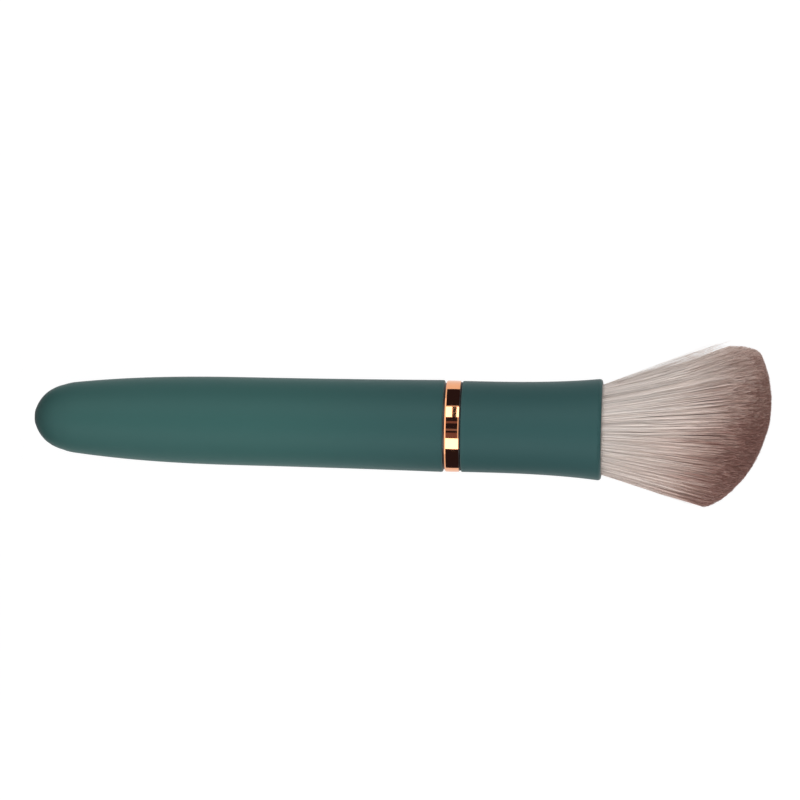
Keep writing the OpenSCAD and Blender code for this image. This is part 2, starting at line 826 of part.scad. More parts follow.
// Points along a lead from place a, then straight across, and on to place b
function shifted(points, x) = [for (p = points) p + [x, 0, 0]];
function joined(first, last) = let (a = first[len(first) - 1], b = last[0])
    concat(first, [for (i = [1:lead_spans - 1]) a + (b - a) * i / lead_spans], last);
red_route = joined(shifted(red_at_cell, cell_end_x), shifted(red_at_frame, frame_x));
black_route = shifted(black_at_frame, frame_x);
motor_route = joined(shifted(motor_at_frame, frame_x), shifted(motor_at_motor, end_cap_x));

// Smooth route through those points
function between(a, b, c, d, t) = 0.5 * (2 * b + (c - a) * t + (2 * a - 5 * b + 4 * c - d) * t * t
    + (3 * b - a - 3 * c + d) * t * t * t);
function smooth(route) = let (last = len(route) - 1) concat(
    [for (i = [0:last - 1], k = [0:lead_substeps - 1])
        between(route[max(0, i - 1)], route[i], route[i + 1], route[min(last, i + 2)], k / lead_substeps)],
    [route[last]]);

module lead(route) {
    line = smooth(route);
    last = len(line) - 1;
    rings = [for (i = [0:last])
        let (run = line[min(last, i + 1)] - line[max(0, i - 1)], ahead = run / norm(run))
        let (side = cross(ahead, [0, 1, 0]) / norm(cross(ahead, [0, 1, 0])), over = cross(side, ahead))
        [for (k = [0:lead_sides - 1])
            line[i] + lead_r * (cos(360 * k / lead_sides) * side + sin(360 * k / lead_sides) * over)]];
    polyhedron(
        points = [for (ring = rings, p = ring) p],
        faces = concat(
            [[for (k = [0:lead_sides - 1]) k]],
            [for (i = [0:last - 1], k = [0:lead_sides - 1])
                let (a = i * lead_sides + k, b = i * lead_sides + (k + 1) % lead_sides)
                each [[a, a + lead_sides, b], [b, a + lead_sides, b + lead_sides]]],
            [[for (k = [lead_sides - 1:-1:0]) last * lead_sides + k]]
        )
    );
}

module battery_leads() {
    color([0.7, 0.08, 0.07]) lead(red_route);
    color([0.05, 0.05, 0.05]) lead(black_route);
}

module motor_leads() {
    color([0.75, 0.72, 0.1]) lead(motor_route);
    color([0.1, 0.2, 0.6]) lead([for (p = motor_route) [p.x, -p.y, p.z]]);
}

module motor_shaft() {
    color([0.8, 0.8, 0.82])
        disc(end_cap_x + end_cap_t / 4, planet_x + gear_face - end_cap_x - end_cap_t / 4, motor_shaft_r);
}

core_r = motor_r - can_wall - magnet_t - magnet_gap;
core_x = motor_x + core_start;

module rotor_core() {
    color([0.5, 0.51, 0.53])
        along(core_x)
            difference() {
                cylinder(h = core_len, r = core_r);
                translate([0, 0, -overrun]) cylinder(h = core_len + 2 * overrun, r = motor_shaft_r + push_fit);
                translate([0, 0, -overrun])
                    for (i = [0:2])
                        rotate([0, 0, 120 * i]) {
                            translate([hub_core_r, -slot_w / 2, 0])
                                cube([core_r - hub_core_r - slot_neck_w, slot_w, core_len + 2 * overrun]);
                            translate([hub_core_r, -slot_neck_w / 2, 0])
                                cube([core_r, slot_neck_w, core_len + 2 * overrun]);
                        }
            }
}

// Copper fills the three slots and stands out a little at both ends
module rotor_windings() {
    fill_w = slot_w - 2 * run_fit;
    fill_h = core_r - hub_core_r - slot_neck_w - 2 * run_fit;
    color([0.72, 0.4, 0.2])
        along(core_x - slot_neck_w)
            for (i = [0:2])
                rotate([0, 0, 120 * i])
                    translate([hub_core_r + run_fit, -fill_w / 2, 0])
                        cube([fill_h, fill_w, core_len + 2 * slot_neck_w]);
}

module commutator() {
    color([0.75, 0.45, 0.25])
        along(motor_x + push_fit)
            difference() {
                cylinder(h = commutator_len, r = commutator_r);
                translate([0, 0, -overrun])
                    cylinder(h = commutator_len + 2 * overrun, r = motor_shaft_r + push_fit);
                translate([0, 0, commutator_len / 4])
                    for (i = [0:2])
                        rotate([0, 0, 120 * i + 60])
                            translate([motor_shaft_r + 2 * brush_t, -brush_t / 2, 0])
                                cube([commutator_r, brush_t, commutator_len]);
            }
}

module sun_gear() {
    color([0.82, 0.68, 0.4])
        along(planet_x) outer_gear(sun_teeth, motor_shaft_r + push_fit, gear_face);
}

module planet_carrier() {
    color([0.62, 0.63, 0.65])
        along(carrier_x)
            difference() {
                cylinder(h = carrier_t, r = carrier_r);
                translate([0, 0, -overrun]) cylinder(h = carrier_t + 2 * overrun, r = shaft_r + push_fit);
                translate([0, 0, -overrun])
                    ring_of(3, planet_circle) cylinder(h = carrier_t + 2 * overrun, r = pin_r + push_fit);
            }
}

module carrier_pins() {
    color([0.8, 0.8, 0.82])
        along(planet_x)
            ring_of(3, planet_circle) cylinder(h = carrier_x + carrier_t - planet_x, r = pin_r);
}

// Planet gear in place i of three, with a tooth space towards the sun and one towards the ring
module planet_gear(i) {
    color([0.9, 0.88, 0.8])
        along(planet_x)
            rotate([0, 0, 120 * i])
                translate([planet_circle, 0, 0])
                    rotate([0, 0, 180 / planet_teeth]) outer_gear(planet_teeth, pin_r + run_fit, gear_face);
}

module flatted_rod(len, r, flats) {
    intersection() {
        cylinder(h = len, r = r);
        translate([-flats / 2, -r - overrun, 0]) cube([flats, 2 * r + 2 * overrun, len]);
    }
}

module output_shaft() {
    color([0.8, 0.8, 0.82])
        difference() {
            union() {
                disc(carrier_x, flats_x - carrier_x, shaft_r);
                along(carrier_x) flatted_rod(shaft_end_x - carrier_x, shaft_r, shaft_flats);
            }
            tube(clip_x, clip_t + 2 * push_fit, shaft_r + overrun, shaft_r - clip_groove);
        }
}

module shaft_clip() {
    color([0.35, 0.36, 0.38])
        difference() {
            tube(clip_x + push_fit, clip_t, clip_r, shaft_r - clip_groove + push_fit);
            box(clip_x, 0, 0, [clip_t + overrun, clip_slot_w, clip_r + overrun]);
        }
}

module head_sleeve() {
    color([0.13, 0.27, 0.26])
        turned(concat(
            [[head_x, sleeve_bore_r]],
            back_round(head_x, sleeve_r, sleeve_round),
            [for (i = [1:sleeve_steps - 1]) [sleeve_xs[i], sleeve_out_r(sleeve_xs[i])]],
            front_round(head_end_x, sleeve_r + rim_flare, rim_round),
            [[head_end_x, mouth_r + push_fit], [cup_end_x, mouth_r + push_fit], [cup_x, sleeve_bore_r]]
        ));
}

module drive_hub() {
    rib_run = hub_r - hub_rim_t / 2;
    groove_r = shaft_r + run_fit + 2 * grip_cord_r + push_fit;
    color([0.18, 0.19, 0.2])
        difference() {
            union() {
                disc(hub_x, hub_len, hub_boss_r);
                tube(hub_x, hub_len, hub_r, hub_r - hub_rim_t);
                disc(hub_end_x - hub_web_t, hub_web_t, hub_r);
                along(hub_x)
                    for (i = [0:hub_ribs - 1])
                        rotate([0, 0, 360 * i / hub_ribs])
                            translate([0, -hub_rib_t / 2, 0]) cube([rib_run, hub_rib_t, hub_len]);
            }
            disc(hub_x - overrun, flats_x - hub_x + overrun + loose_fit, shaft_r + run_fit);
            along(flats_x)
                flatted_rod(hub_end_x - flats_x + overrun, shaft_r + run_fit, shaft_flats + 2 * run_fit);
            tube(grip_x - grip_cord_r - push_fit, 2 * (grip_cord_r + push_fit), groove_r, shaft_r);
        }
}

module grip_ring() {
    color([0.05, 0.05, 0.05])
        along(grip_x)
            rotate_extrude() translate([shaft_r + run_fit + grip_cord_r, 0]) circle(r = grip_cord_r);
}

module ferrule_cup() {
    color([0.75, 0.76, 0.78])
        turned([
            [cup_x, 0],
            [cup_x, cup_out_r(cup_x)],
            [cup_end_x, cup_out_r(cup_end_x)],
            [cup_end_x, cup_in_r(cup_end_x)],
            [plug_x, cup_in_r(plug_x)],
            [plug_x, 0]
        ]);
}

module hair_plug() {
    color([0.75, 0.62, 0.35])
        turned([
            [plug_x, 0],
            [plug_x, cup_in_r(plug_x) - push_fit],
            [slice_x, cup_in_r(slice_x) - push_fit],
            [slice_x, 0]
        ]);
}

// Each strand has three rings of three points, and a point at its tip
module strands() {
    polyhedron(
        points = [for (i = [0:strand_count - 1])
            let (line = strand(i))
            each concat(
                [for (j = [0:2], k = [0:2])
                    let (a = twist_angle * i + 120 * k) line[j] + strand_radii[j] * [0, cos(a), sin(a)]],
                [line[3]]
            )],
        faces = [for (i = [0:strand_count - 1])
            let (s = 10 * i)
            each concat(
                [[s, s + 1, s + 2]],
                [for (j = [0:1], k = [0:2])
                    let (a = s + 3 * j + k, b = s + 3 * j + (k + 1) % 3)
                    each [[a, a + 3, b], [b, a + 3, b + 3]]],
                [for (k = [0:2]) [s + 6 + k, s + 9, s + 6 + (k + 1) % 3]]
            )]
    );
}

// The bundle, fused to a slice of the plug that holds it and pressed flat where it lies on the table
module bristles() {
    room = 2 * (handle_len + sleeve_len + bristle_out);
    color([0.72, 0.62, 0.58])
        resize([0, 0, 0])
            intersection() {
                at_rest() {
                    strands();
                    disc(slice_x, slice_t, cup_in_r(slice_x) - push_fit);
                }
                translate([-room / 2, -room / 2, 0]) cube([room, room, room]);
            }
}

at_rest() handle_shell();
at_rest() trim_ring();
at_rest() front_case();
at_rest() case_seal();
at_rest() output_bush();
at_rest() thrust_washer();
at_rest() ring_gear();
at_rest() motor_plate();
at_rest() case_screws();
at_rest() inner_frame();
at_rest() motor_can();
at_rest() motor_bush();
at_rest() motor_magnets();
at_rest() motor_end_cap();
at_rest() motor_terminals();
at_rest() motor_brushes();
at_rest() battery_cell();
at_rest() battery_tabs();
at_rest() rear_foam_pad();
at_rest() front_foam_pad();
at_rest() control_board();
at_rest() board_chips();
at_rest() board_screws();
at_rest() tact_switch();
at_rest() charge_socket();
at_rest() port_grommet();
at_rest() button_seal();
at_rest() battery_leads();
at_rest() motor_leads();
at_rest() tail_button();
at_rest() switch_plunger();
at_rest() motor_shaft();
at_rest() rotor_core();
at_rest() rotor_windings();
at_rest() commutator();
at_rest() sun_gear();
at_rest() planet_carrier();
at_rest() carrier_pins();
at_rest() output_shaft();
at_rest() shaft_clip();
at_rest() planet_gear(0);  // planet_gear_a
at_rest() planet_gear(1);  // planet_gear_b
at_rest() planet_gear(2);  // planet_gear_c
at_rest() head_sleeve();
at_rest() drive_hub();
at_rest() grip_ring();
at_rest() ferrule_cup();
at_rest() hair_plug();
bristles();
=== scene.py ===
import json
import math
import random

import bmesh
import bpy
from mathutils import Matrix, Vector, kdtree


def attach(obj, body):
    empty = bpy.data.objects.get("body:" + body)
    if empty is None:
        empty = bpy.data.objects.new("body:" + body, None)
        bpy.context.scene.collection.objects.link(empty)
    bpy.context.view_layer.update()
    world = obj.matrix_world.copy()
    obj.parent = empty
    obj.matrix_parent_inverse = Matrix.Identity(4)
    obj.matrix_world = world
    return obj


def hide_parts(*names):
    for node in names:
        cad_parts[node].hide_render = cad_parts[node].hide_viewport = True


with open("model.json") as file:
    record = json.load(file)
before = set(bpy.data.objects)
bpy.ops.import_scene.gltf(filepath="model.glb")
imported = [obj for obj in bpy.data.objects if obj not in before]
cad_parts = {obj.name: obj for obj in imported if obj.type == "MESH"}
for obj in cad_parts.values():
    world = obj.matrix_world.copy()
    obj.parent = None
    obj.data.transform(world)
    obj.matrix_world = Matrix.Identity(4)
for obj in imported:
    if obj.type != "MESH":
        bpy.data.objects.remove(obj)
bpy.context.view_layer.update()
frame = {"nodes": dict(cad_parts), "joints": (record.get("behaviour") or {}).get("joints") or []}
nodes = frame["nodes"]

# ---- Table and camera ----
# The brush lies on a white table top and is seen from straight above. Its own axis comes from the joint
# that the head turns on. Lengths are in metres, and a brush place is measured from the pole of the nose.
MM = 0.001
head_spin = next(joint for joint in frame["joints"] if joint["name"] == "head_spin")
axis = Vector(head_spin["axis"]).normalized()
handle_len = 111.3 * MM
shell_end = max(v.co.dot(axis) for v in nodes["handle_shell"].data.vertices)
turning_point = Vector(head_spin["pos_m"])
pole = turning_point + axis * (shell_end - handle_len - turning_point.dot(axis))
lay_down = Matrix.Translation(pole) @ axis.to_track_quat("X", "Z").to_matrix().to_4x4()
pick_up = lay_down.inverted()


def span(node):
    """Where a CAD node starts and ends along the brush, and its largest radius."""
    points = [pick_up @ v.co for v in nodes[node].data.vertices]
    return min(p.x for p in points), max(p.x for p in points), max(math.hypot(p.y, p.z) for p in points)


button_start, button_end, button_flange_r = span("tail_button")
ring_start, ring_end, ring_r = span("trim_ring")

# Two marks of the photograph on the axis: the face of the tail button, and the back edge of the head's sleeve
TAIL_PX = (34.8, 415.8)
HEAD_PX = (461.5, 425.9)
FRAME_PX = 800
MIDDLE_PX = (FRAME_PX - 1) / 2
SENSOR_WIDTH = 36
camera_height = 1.8


def across_view(mark):
    """A pixel as a complex number from the middle of the picture, with up as positive."""
    return complex(mark[0] - MIDDLE_PX, MIDDLE_PX - mark[1])


def on_table(place):
    """A place on the axis as (complex x + iy, depth under the camera)."""
    point = lay_down @ Vector((place, 0, 0))
    return complex(point.x, point.y), camera_height - point.z


tail_at, tail_depth = on_table(button_start)
head_at, head_depth = on_table(span("head_sleeve")[0])
view_scale = (across_view(HEAD_PX) * head_depth - across_view(TAIL_PX) * tail_depth) / (head_at - tail_at)
view_middle = tail_at - across_view(TAIL_PX) * tail_depth / view_scale
view_turn = -math.atan2(view_scale.imag, view_scale.real)

camera_data = bpy.data.cameras.new("camera")
camera_data.sensor_width = SENSOR_WIDTH
camera_data.lens = abs(view_scale) * SENSOR_WIDTH / FRAME_PX
camera = bpy.data.objects.new("camera", camera_data)
camera.location = (view_middle.real, view_middle.imag, camera_height)
camera.rotation_euler = (0, 0, view_turn)
bpy.context.scene.collection.objects.link(camera)
bpy.context.scene.camera = camera
bpy.context.scene.view_settings.view_transform = "Standard"


def stage_sheet(name, start, end, side, material, narrowing=1):
    """A flat sheet of the set, from the middle of one edge to that of the other.

    Side is half of its width as a vector, and narrowing is the width at the end as a share of that at the start.
    """
    start, end, side = Vector(start), Vector(end), Vector(side)
    bm = bmesh.new()
    edge = bm.edges.new([bm.verts.new(start - side), bm.verts.new(start + side)])
    swept = bmesh.ops.extrude_edge_only(bm, edges=[edge])
    moved = [g for g in swept["geom"] if isinstance(g, bmesh.types.BMVert)]
    bmesh.ops.translate(bm, verts=moved, vec=end - start)
    bmesh.ops.scale(bm, verts=moved, vec=(narrowing, narrowing, narrowing), space=Matrix.Translation(-end))
    mesh = bpy.data.meshes.new(name)
    bm.to_mesh(mesh)
    bm.free()
    mesh.materials.append(material)
    sheet = bpy.data.objects.new(name, mesh)
    bpy.context.scene.collection.objects.link(sheet)
    return sheet


def seen_directly(tree):
    """1 for camera, glossy and transmission rays, and 0 for the light that bounces about."""
    path = tree.nodes.new("ShaderNodeLightPath")
    total = path.outputs["Is Camera Ray"]
    for kind in ("Is Glossy Ray", "Is Transmission Ray"):
        join = tree.nodes.new("ShaderNodeMath")
        join.operation = "MAXIMUM"
        tree.links.new(total, join.inputs[0])
        tree.links.new(path.outputs[kind], join.inputs[1])
        total = join.outputs["Value"]
    return total


# White card for the table top: seen directly it is white and keeps a faint contact shadow, and it bounces light
# as card does
TABLE_HALF = 2.0
CARD_BOUNCE = 0.8
CARD_SHADE = 0.16
CARD_GLOW = 0.92
white_card = bpy.data.materials.new("white_card")
white_card.use_nodes = True
card_tree = white_card.node_tree
card_tree.nodes.remove(card_tree.nodes["Principled BSDF"])
direct = seen_directly(card_tree)
card_tone = card_tree.nodes.new("ShaderNodeMapRange")
card_tone.inputs["To Min"].default_value = CARD_BOUNCE
card_tone.inputs["To Max"].default_value = CARD_SHADE
card_face = card_tree.nodes.new("ShaderNodeBsdfDiffuse")
card_level = card_tree.nodes.new("ShaderNodeMath")
card_level.operation = "MULTIPLY"
card_level.inputs[1].default_value = CARD_GLOW
card_glow = card_tree.nodes.new("ShaderNodeEmission")
card_sum = card_tree.nodes.new("ShaderNodeAddShader")
card_tree.links.new(direct, card_tone.inputs["Value"])
card_tree.links.new(card_tone.outputs["Result"], card_face.inputs["Color"])
card_tree.links.new(direct, card_level.inputs[0])
card_tree.links.new(card_level.outputs["Value"], card_glow.inputs["Strength"])
card_tree.links.new(card_face.outputs["BSDF"], card_sum.inputs[0])
card_tree.links.new(card_glow.outputs["Emission"], card_sum.inputs[1])
card_tree.links.new(card_sum.outputs["Shader"], card_tree.nodes["Material Output"].inputs["Surface"])
stage_sheet("table_top", (0, -TABLE_HALF, 0), (0, TABLE_HALF, 0), (TABLE_HALF, 0, 0), white_card)

# ---- Light ----
# Two long soft windows stand over the brush, one on each side, and a little towards the tail. Dark walls between
# and beyond them show only in what is polished. Angles are in degrees from straight up, positive towards +Y.
WINDOW_REACH = 0.55
WINDOW_LENGTH = 0.66
WINDOW_SHIFT = -0.06
WINDOW_GLOW = 3.1
far_window = (35.4, 26.3)
near_window = (-43.8, 27.5)
for name, (middle, width) in (("far_window", far_window), ("near_window", near_window)):
    lean = math.radians(middle)
    lamp_data = bpy.data.lights.new(name, "AREA")
    lamp_data.shape = "RECTANGLE"
    lamp_data.size = WINDOW_LENGTH
    lamp_data.size_y = 2 * WINDOW_REACH * math.tan(math.radians(width / 2))
    lamp_data.energy = WINDOW_GLOW * math.pi * lamp_data.size * lamp_data.size_y
    lamp = bpy.data.objects.new(name, lamp_data)
    lamp.location = (WINDOW_SHIFT, WINDOW_REACH * math.sin(lean), WINDOW_REACH * math.cos(lean))
    lamp.rotation_euler = (-lean, 0, 0)
    lamp.visible_camera = False
    bpy.context.scene.collection.objects.link(lamp)

ROOM_FILL = 0.29
world = bpy.data.worlds.new("room")
bpy.context.scene.world = world
world.use_nodes = True
world_level = world.node_tree.nodes.new("ShaderNodeMapRange")
world_level.inputs["To Min"].default_value = ROOM_FILL
world.node_tree.links.new(seen_directly(world.node_tree), world_level.inputs["Value"])
world.node_tree.nodes["Background"].inputs["Color"].default_value = (1, 1, 1, 1)
world.node_tree.links.new(world_level.outputs["Result"], world.node_tree.nodes["Background"].inputs["Strength"])


def mirrored_sheet(name, level, start, end, side, narrowing=1, shades=False):
    """A sheet of the set at one even level, for polished surfaces to mirror. It can shade matt ones too."""
    material = bpy.data.materials.new(name)
    material.use_nodes = True
    tree = material.node_tree
    tree.nodes.remove(tree.nodes["Principled BSDF"])
    glow = tree.nodes.new("ShaderNodeEmission")
    glow.inputs["Color"].default_value = (*level, 1)
    tree.links.new(glow.outputs["Emission"], tree.nodes["Material Output"].inputs["Surface"])
    sheet = stage_sheet(name, start, end, side, material, narrowing)
    sheet.visible_camera = sheet.visible_shadow = sheet.visible_transmission = False
    sheet.visible_diffuse = shades
    return sheet


WALL_REACH = 0.62
WALL_LIFT = 0.0002
WALL_SIDE = (0.1, 0, 0)
WIDE_SIDE = (0.25, 0, 0)
WIDE_BEYOND = 0.24
WALL_DARK = (0.024, 0.02, 0.03)
WALL_BROWN = (0.22, 0.14, 0.15)
WALL_PALE = (0.28, 0.24, 0.27)
far_edge, near_edge = 51.5, -57.6
far_white, near_white = 76 * MM, -37 * MM
ring_place = (lay_down @ Vector(((ring_start + ring_end) / 2, 0, 0))).x


def seen_from_ring(angle, reach):
    """How far along the table a sheet stands so that the tilted ring mirrors it to the camera."""
    lean = (camera.location.x - ring_place) / camera_height
    return ring_place - reach * (2 * axis.z * math.cos(math.radians(angle) / 2) ** 2 + lean)


def around(angle, reach=WALL_REACH, beyond=0.0):
    """The place over the ring at an angle from straight up, moved towards the head by a share of the reach."""
    turn = math.radians(angle)
    return seen_from_ring(angle, reach) + beyond * reach, reach * math.sin(turn), reach * math.cos(turn)


def on_floor(across, beyond=0.0):
    """The place on the table beside the ring, moved towards the head by a share of its distance."""
    return seen_from_ring(90, abs(across)) + beyond * abs(across), across, WALL_LIFT


# Between the windows, each strip of wall runs from one angle to the next
for name, level, start, end in (
    ("middle_dark", WALL_DARK, 12, 23),
    ("middle_brown", WALL_BROWN, 7, 12),
    ("middle_black", WALL_DARK, -6.5, 7),
    ("middle_pale", WALL_PALE, -11, -6.5),
    ("middle_shade", WALL_DARK, -16, -11),
    ("near_brown", WALL_BROWN, -30, -16),
):
    mirrored_sheet(name, level, around(start), around(end), WALL_SIDE)

# Beyond each window a wide wall comes down to the floor, and the floor is dark from there to the white table
for name, edge, white in (("far", far_edge, far_white), ("near", near_edge, near_white)):
    foot = math.copysign(WALL_REACH, white)
    wall_top = around(edge, beyond=WIDE_BEYOND)
    wall_foot, floor_end = on_floor(foot, WIDE_BEYOND), on_floor(white, WIDE_BEYOND)
    mirrored_sheet(name + "_wall", WALL_DARK, wall_top, wall_foot, WIDE_SIDE)
    mirrored_sheet(name + "_floor", WALL_DARK, wall_foot, floor_end, WIDE_SIDE, white / foot)

# The stand of a lamp crosses the far window, and shows as a dark line in the ring
STAND_ANGLES = (21, 49)
STAND_REACH = 0.5
STAND_SIDE = (0.0155, 0, 0)
STAND_BEYOND = 0.036
stand_top, stand_foot = (around(angle, STAND_REACH, STAND_BEYOND) for angle in STAND_ANGLES)
stand = mirrored_sheet("lamp_stand", WALL_DARK, stand_top, stand_foot, STAND_SIDE)
stand.visible_shadow = True

# A bright card far behind the tail shows in the ring's wide bevel
BRIGHT_PLACE = -0.6
BRIGHT_SIDE = (0, 0.9, 0)
BRIGHT_HEIGHT = 0.75
BRIGHT_LEVEL = (1.6, 1.6, 1.6)
bright_top, bright_foot = (BRIGHT_PLACE, 0, BRIGHT_HEIGHT), (BRIGHT_PLACE, 0, WALL_LIFT)
mirrored_sheet("bevel_card", BRIGHT_LEVEL, bright_top, bright_foot, BRIGHT_SIDE)

# A dark flag stands beyond the tail on a dark sheet, and the two darken the end of the nose
FLAG_SIDE = (0, 0.09, 0)
flag_gap = 45 * MM
flag_height = 85 * MM
flag_floor_gap = 3 * MM
flag_top = (pole.x - flag_gap, 0, flag_height)
flag_foot = (pole.x - flag_gap, 0, WALL_LIFT)
flag_floor_end = (pole.x - flag_floor_gap, 0, WALL_LIFT)
mirrored_sheet("tail_flag", WALL_DARK, flag_top, flag_foot, FLAG_SIDE, shades=True)
mirrored_sheet("tail_floor", WALL_DARK, flag_foot, flag_floor_end, FLAG_SIDE, shades=True)

# ---- Handle shell ----
# One long moulded shell with a 1.7 mm wall and a soft-touch coat in teal green. Its nose is rounded, its body
# widens a little towards the ring, and a small port for charging opens on the underside.
nose_len = 11 * MM
nose_r = 9.2 * MM
waist_r = 11.95 * MM
collar_r = 12.45 * MM
shell_wall = 1.7 * MM
mouth_wall = 1.9 * MM
swell_start = 8 * MM
swell_end = 60 * MM
swell_power = 2.5
flare_start = 50 * MM
tail_flat_r = 2.05 * MM
pinch = 0.24 * MM
pinch_end = 3 * MM
tail_wall = 2 * MM
button_hole_r = 1.87 * MM
port_hole_r = 2.45 * MM
drill_sides = 48
pocket_gap = 0.2 * MM
mouth_depth = 4.15 * MM
shell_turns = 128
small_turns = 64
nose_places = 20
body_places = 56
inner_places = 40
inner_crowding = 1.6
edge_round = 0.45 * MM
on_edge = 0.01 * MM
SHARP = math.radians(35)


def limit(value):
    """A share, kept from 0 to 1."""
    return min(1, max(0, value))


def handle_r(x):
    """Outer radius of the handle at a place along the brush."""
    nose = nose_r * math.sqrt(1 - (1 - x / nose_len) ** 2) if x < nose_len else nose_r
    nose -= pinch * (1 - limit(x / pinch_end))
    swell = (waist_r - nose_r) * (1 - (1 - limit((x - swell_start) / (swell_end - swell_start))) ** swell_power)
    flare = (collar_r - waist_r) * limit((x - flare_start) / (handle_len - flare_start)) ** 2
    return nose + swell + flare


def rounded(bm, edges, width, segments=4):
    """Rounds some edges of a piece."""
    bmesh.ops.bevel(bm, geom=edges, offset=width, affect="EDGES", segments=segments, profile=0.5, material=-1)


def soften(bm, width, segments):
    """Rounds every sharp edge, as a moulding or turning tool leaves it."""
    sharp = [e for e in bm.edges if len(e.link_faces) == 2 and e.calc_face_angle(0) > SHARP]
    rounded(bm, sharp, width, segments)


def turned(outline, closed=True, turns=shell_turns):
    """A bmesh of a turned piece on the brush's axis, from its outline as (place, radius)."""
    bm = bmesh.new()
    ring = [bm.verts.new((x, 0, r)) for x, r in outline]
    edges = [bm.edges.new(pair) for pair in zip(ring, ring[1:])]
    if closed:
        edges.append(bm.edges.new((ring[-1], ring[0])))
    bmesh.ops.spin(bm, geom=ring + edges, cent=(0, 0, 0), axis=(1, 0, 0), angle=math.tau, steps=turns, use_merge=True)
    bmesh.ops.remove_doubles(bm, verts=bm.verts, dist=0.001 * MM)
    bmesh.ops.recalc_face_normals(bm, faces=bm.faces)
    return bm


def piece(name, bm, material, body, slot, *stands_for, crease=SHARP):
    """Lays a piece down with the brush, and makes it ride on its body in place of its CAD nodes."""
    bm.transform(lay_down)
    mesh = bpy.data.meshes.new(name)
    bm.to_mesh(mesh)
    bm.free()
    mesh.shade_smooth()
    mesh.set_sharp_from_angle(angle=crease)
    mesh.materials.append(material)
    made = bpy.data.objects.new(name, mesh)
    bpy.context.scene.collection.objects.link(made)
    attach(made, body)
    if stands_for:
        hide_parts(*stands_for)
    return made


def paint(code):
    """A colour chart's six-digit code as a colour for a shader."""
    parts = [int(code[i:i + 2], 16) / 255 for i in (0, 2, 4)]
    return (*[p / 12.92 if p <= 0.04045 else ((p + 0.055) / 1.055) ** 2.4 for p in parts], 1)


def finish(name, light, dark, patch, rough, grain=None, depth=0.0, metallic=0.0, stretch=(1, 1, 1), painted_falloff=None):
    """A surface in two tones: soft patches, a roughness that follows them, and a fine grain that stands up.

    Patch, grain and depth are sizes in metres, and rough is the least and the most roughness. The pattern is
    laid along the brush, and stretch squeezes it on each of the brush's axes, so that a large first number
    gives the rings of a turned face. A third colour, if given, is one that the coat goes over to between two
    places along the brush: painted shade, where the light falls off.
    """
    material = bpy.data.materials.new(name)
    material.use_nodes = True
    tree = material.node_tree
    shader = tree.nodes["Principled BSDF"]
    shader.inputs["Metallic"].default_value = metallic
    place = tree.nodes.new("ShaderNodeTexCoord")
    laid = tree.nodes.new("ShaderNodeMapping")
    laid.inputs["Rotation"].default_value = pick_up.to_euler()
    laid.inputs["Location"].default_value = pick_up.translation
    squeeze = tree.nodes.new("ShaderNodeVectorMath")
    squeeze.operation = "MULTIPLY"
    squeeze.inputs[1].default_value = stretch
    mottle = tree.nodes.new("ShaderNodeTexNoise")
    mottle.inputs["Scale"].default_value = 1 / patch
    mottle.inputs["Detail"].default_value = 4
    tones = tree.nodes.new("ShaderNodeMix")
    tones.data_type = "RGBA"
    tones.inputs["A"].default_value = paint(dark)
    tones.inputs["B"].default_value = paint(light)
    sheen = tree.nodes.new("ShaderNodeMapRange")
    sheen.inputs["To Min"].default_value, sheen.inputs["To Max"].default_value = rough
    tree.links.new(place.outputs["Object"], laid.inputs["Vector"])
    tree.links.new(laid.outputs["Vector"], squeeze.inputs[0])
    tree.links.new(squeeze.outputs["Vector"], mottle.inputs["Vector"])
    tree.links.new(mottle.outputs["Fac"], tones.inputs["Factor"])
    tree.links.new(mottle.outputs["Fac"], sheen.inputs["Value"])
    coat = tones
    if painted_falloff:
        apart = tree.nodes.new("ShaderNodeSeparateXYZ")
        tree.links.new(laid.outputs["Vector"], apart.inputs["Vector"])
        along = tree.nodes.new("ShaderNodeMapRange")
        along.interpolation_type = "SMOOTHSTEP"
        along.inputs["From Min"].default_value, along.inputs["From Max"].default_value = painted_falloff[1:]
        tree.links.new(apart.outputs["X"], along.inputs["Value"])
        coat = tree.nodes.new("ShaderNodeMix")
        coat.data_type = "RGBA"
        coat.inputs["B"].default_value = paint(painted_falloff[0])
        tree.links.new(along.outputs["Result"], coat.inputs["Factor"])
        tree.links.new(tones.outputs["Result"], coat.inputs["A"])
    tree.links.new(coat.outputs["Result"], shader.inputs["Base Color"])
    tree.links.new(sheen.outputs["Result"], shader.inputs["Roughness"])
    if grain:
        fine = tree.nodes.new("ShaderNodeTexNoise")
        fine.inputs["Scale"].default_value = 1 / grain
        fine.inputs["Detail"].default_value = 3
        raised = tree.nodes.new("ShaderNodeBump")
        raised.inputs["Distance"].default_value = depth
        tree.links.new(squeeze.outputs["Vector"], fine.inputs["Vector"])
        tree.links.new(fine.outputs["Fac"], raised.inputs["Height"])
        tree.links.new(raised.outputs["Normal"], shader.inputs["Normal"])
    return material


# The coat goes over to a darker, greyer teal towards the head: painted shade, where the light falls off along the
# brush.
soft_touch = finish(
    "soft_touch", "305c59", "2c5955", 14 * MM, (0.56, 0.64), 0.12 * MM, 0.006 * MM,
    painted_falloff=("295050", 55 * MM, 122 * MM),
)
soft_shader = soft_touch.node_tree.nodes["Principled BSDF"]
soft_shader.inputs["Specular IOR Level"].default_value = 0.22
soft_shader.inputs["Sheen Weight"].default_value = 0.27
soft_shader.inputs["Sheen Roughness"].default_value = 0.35

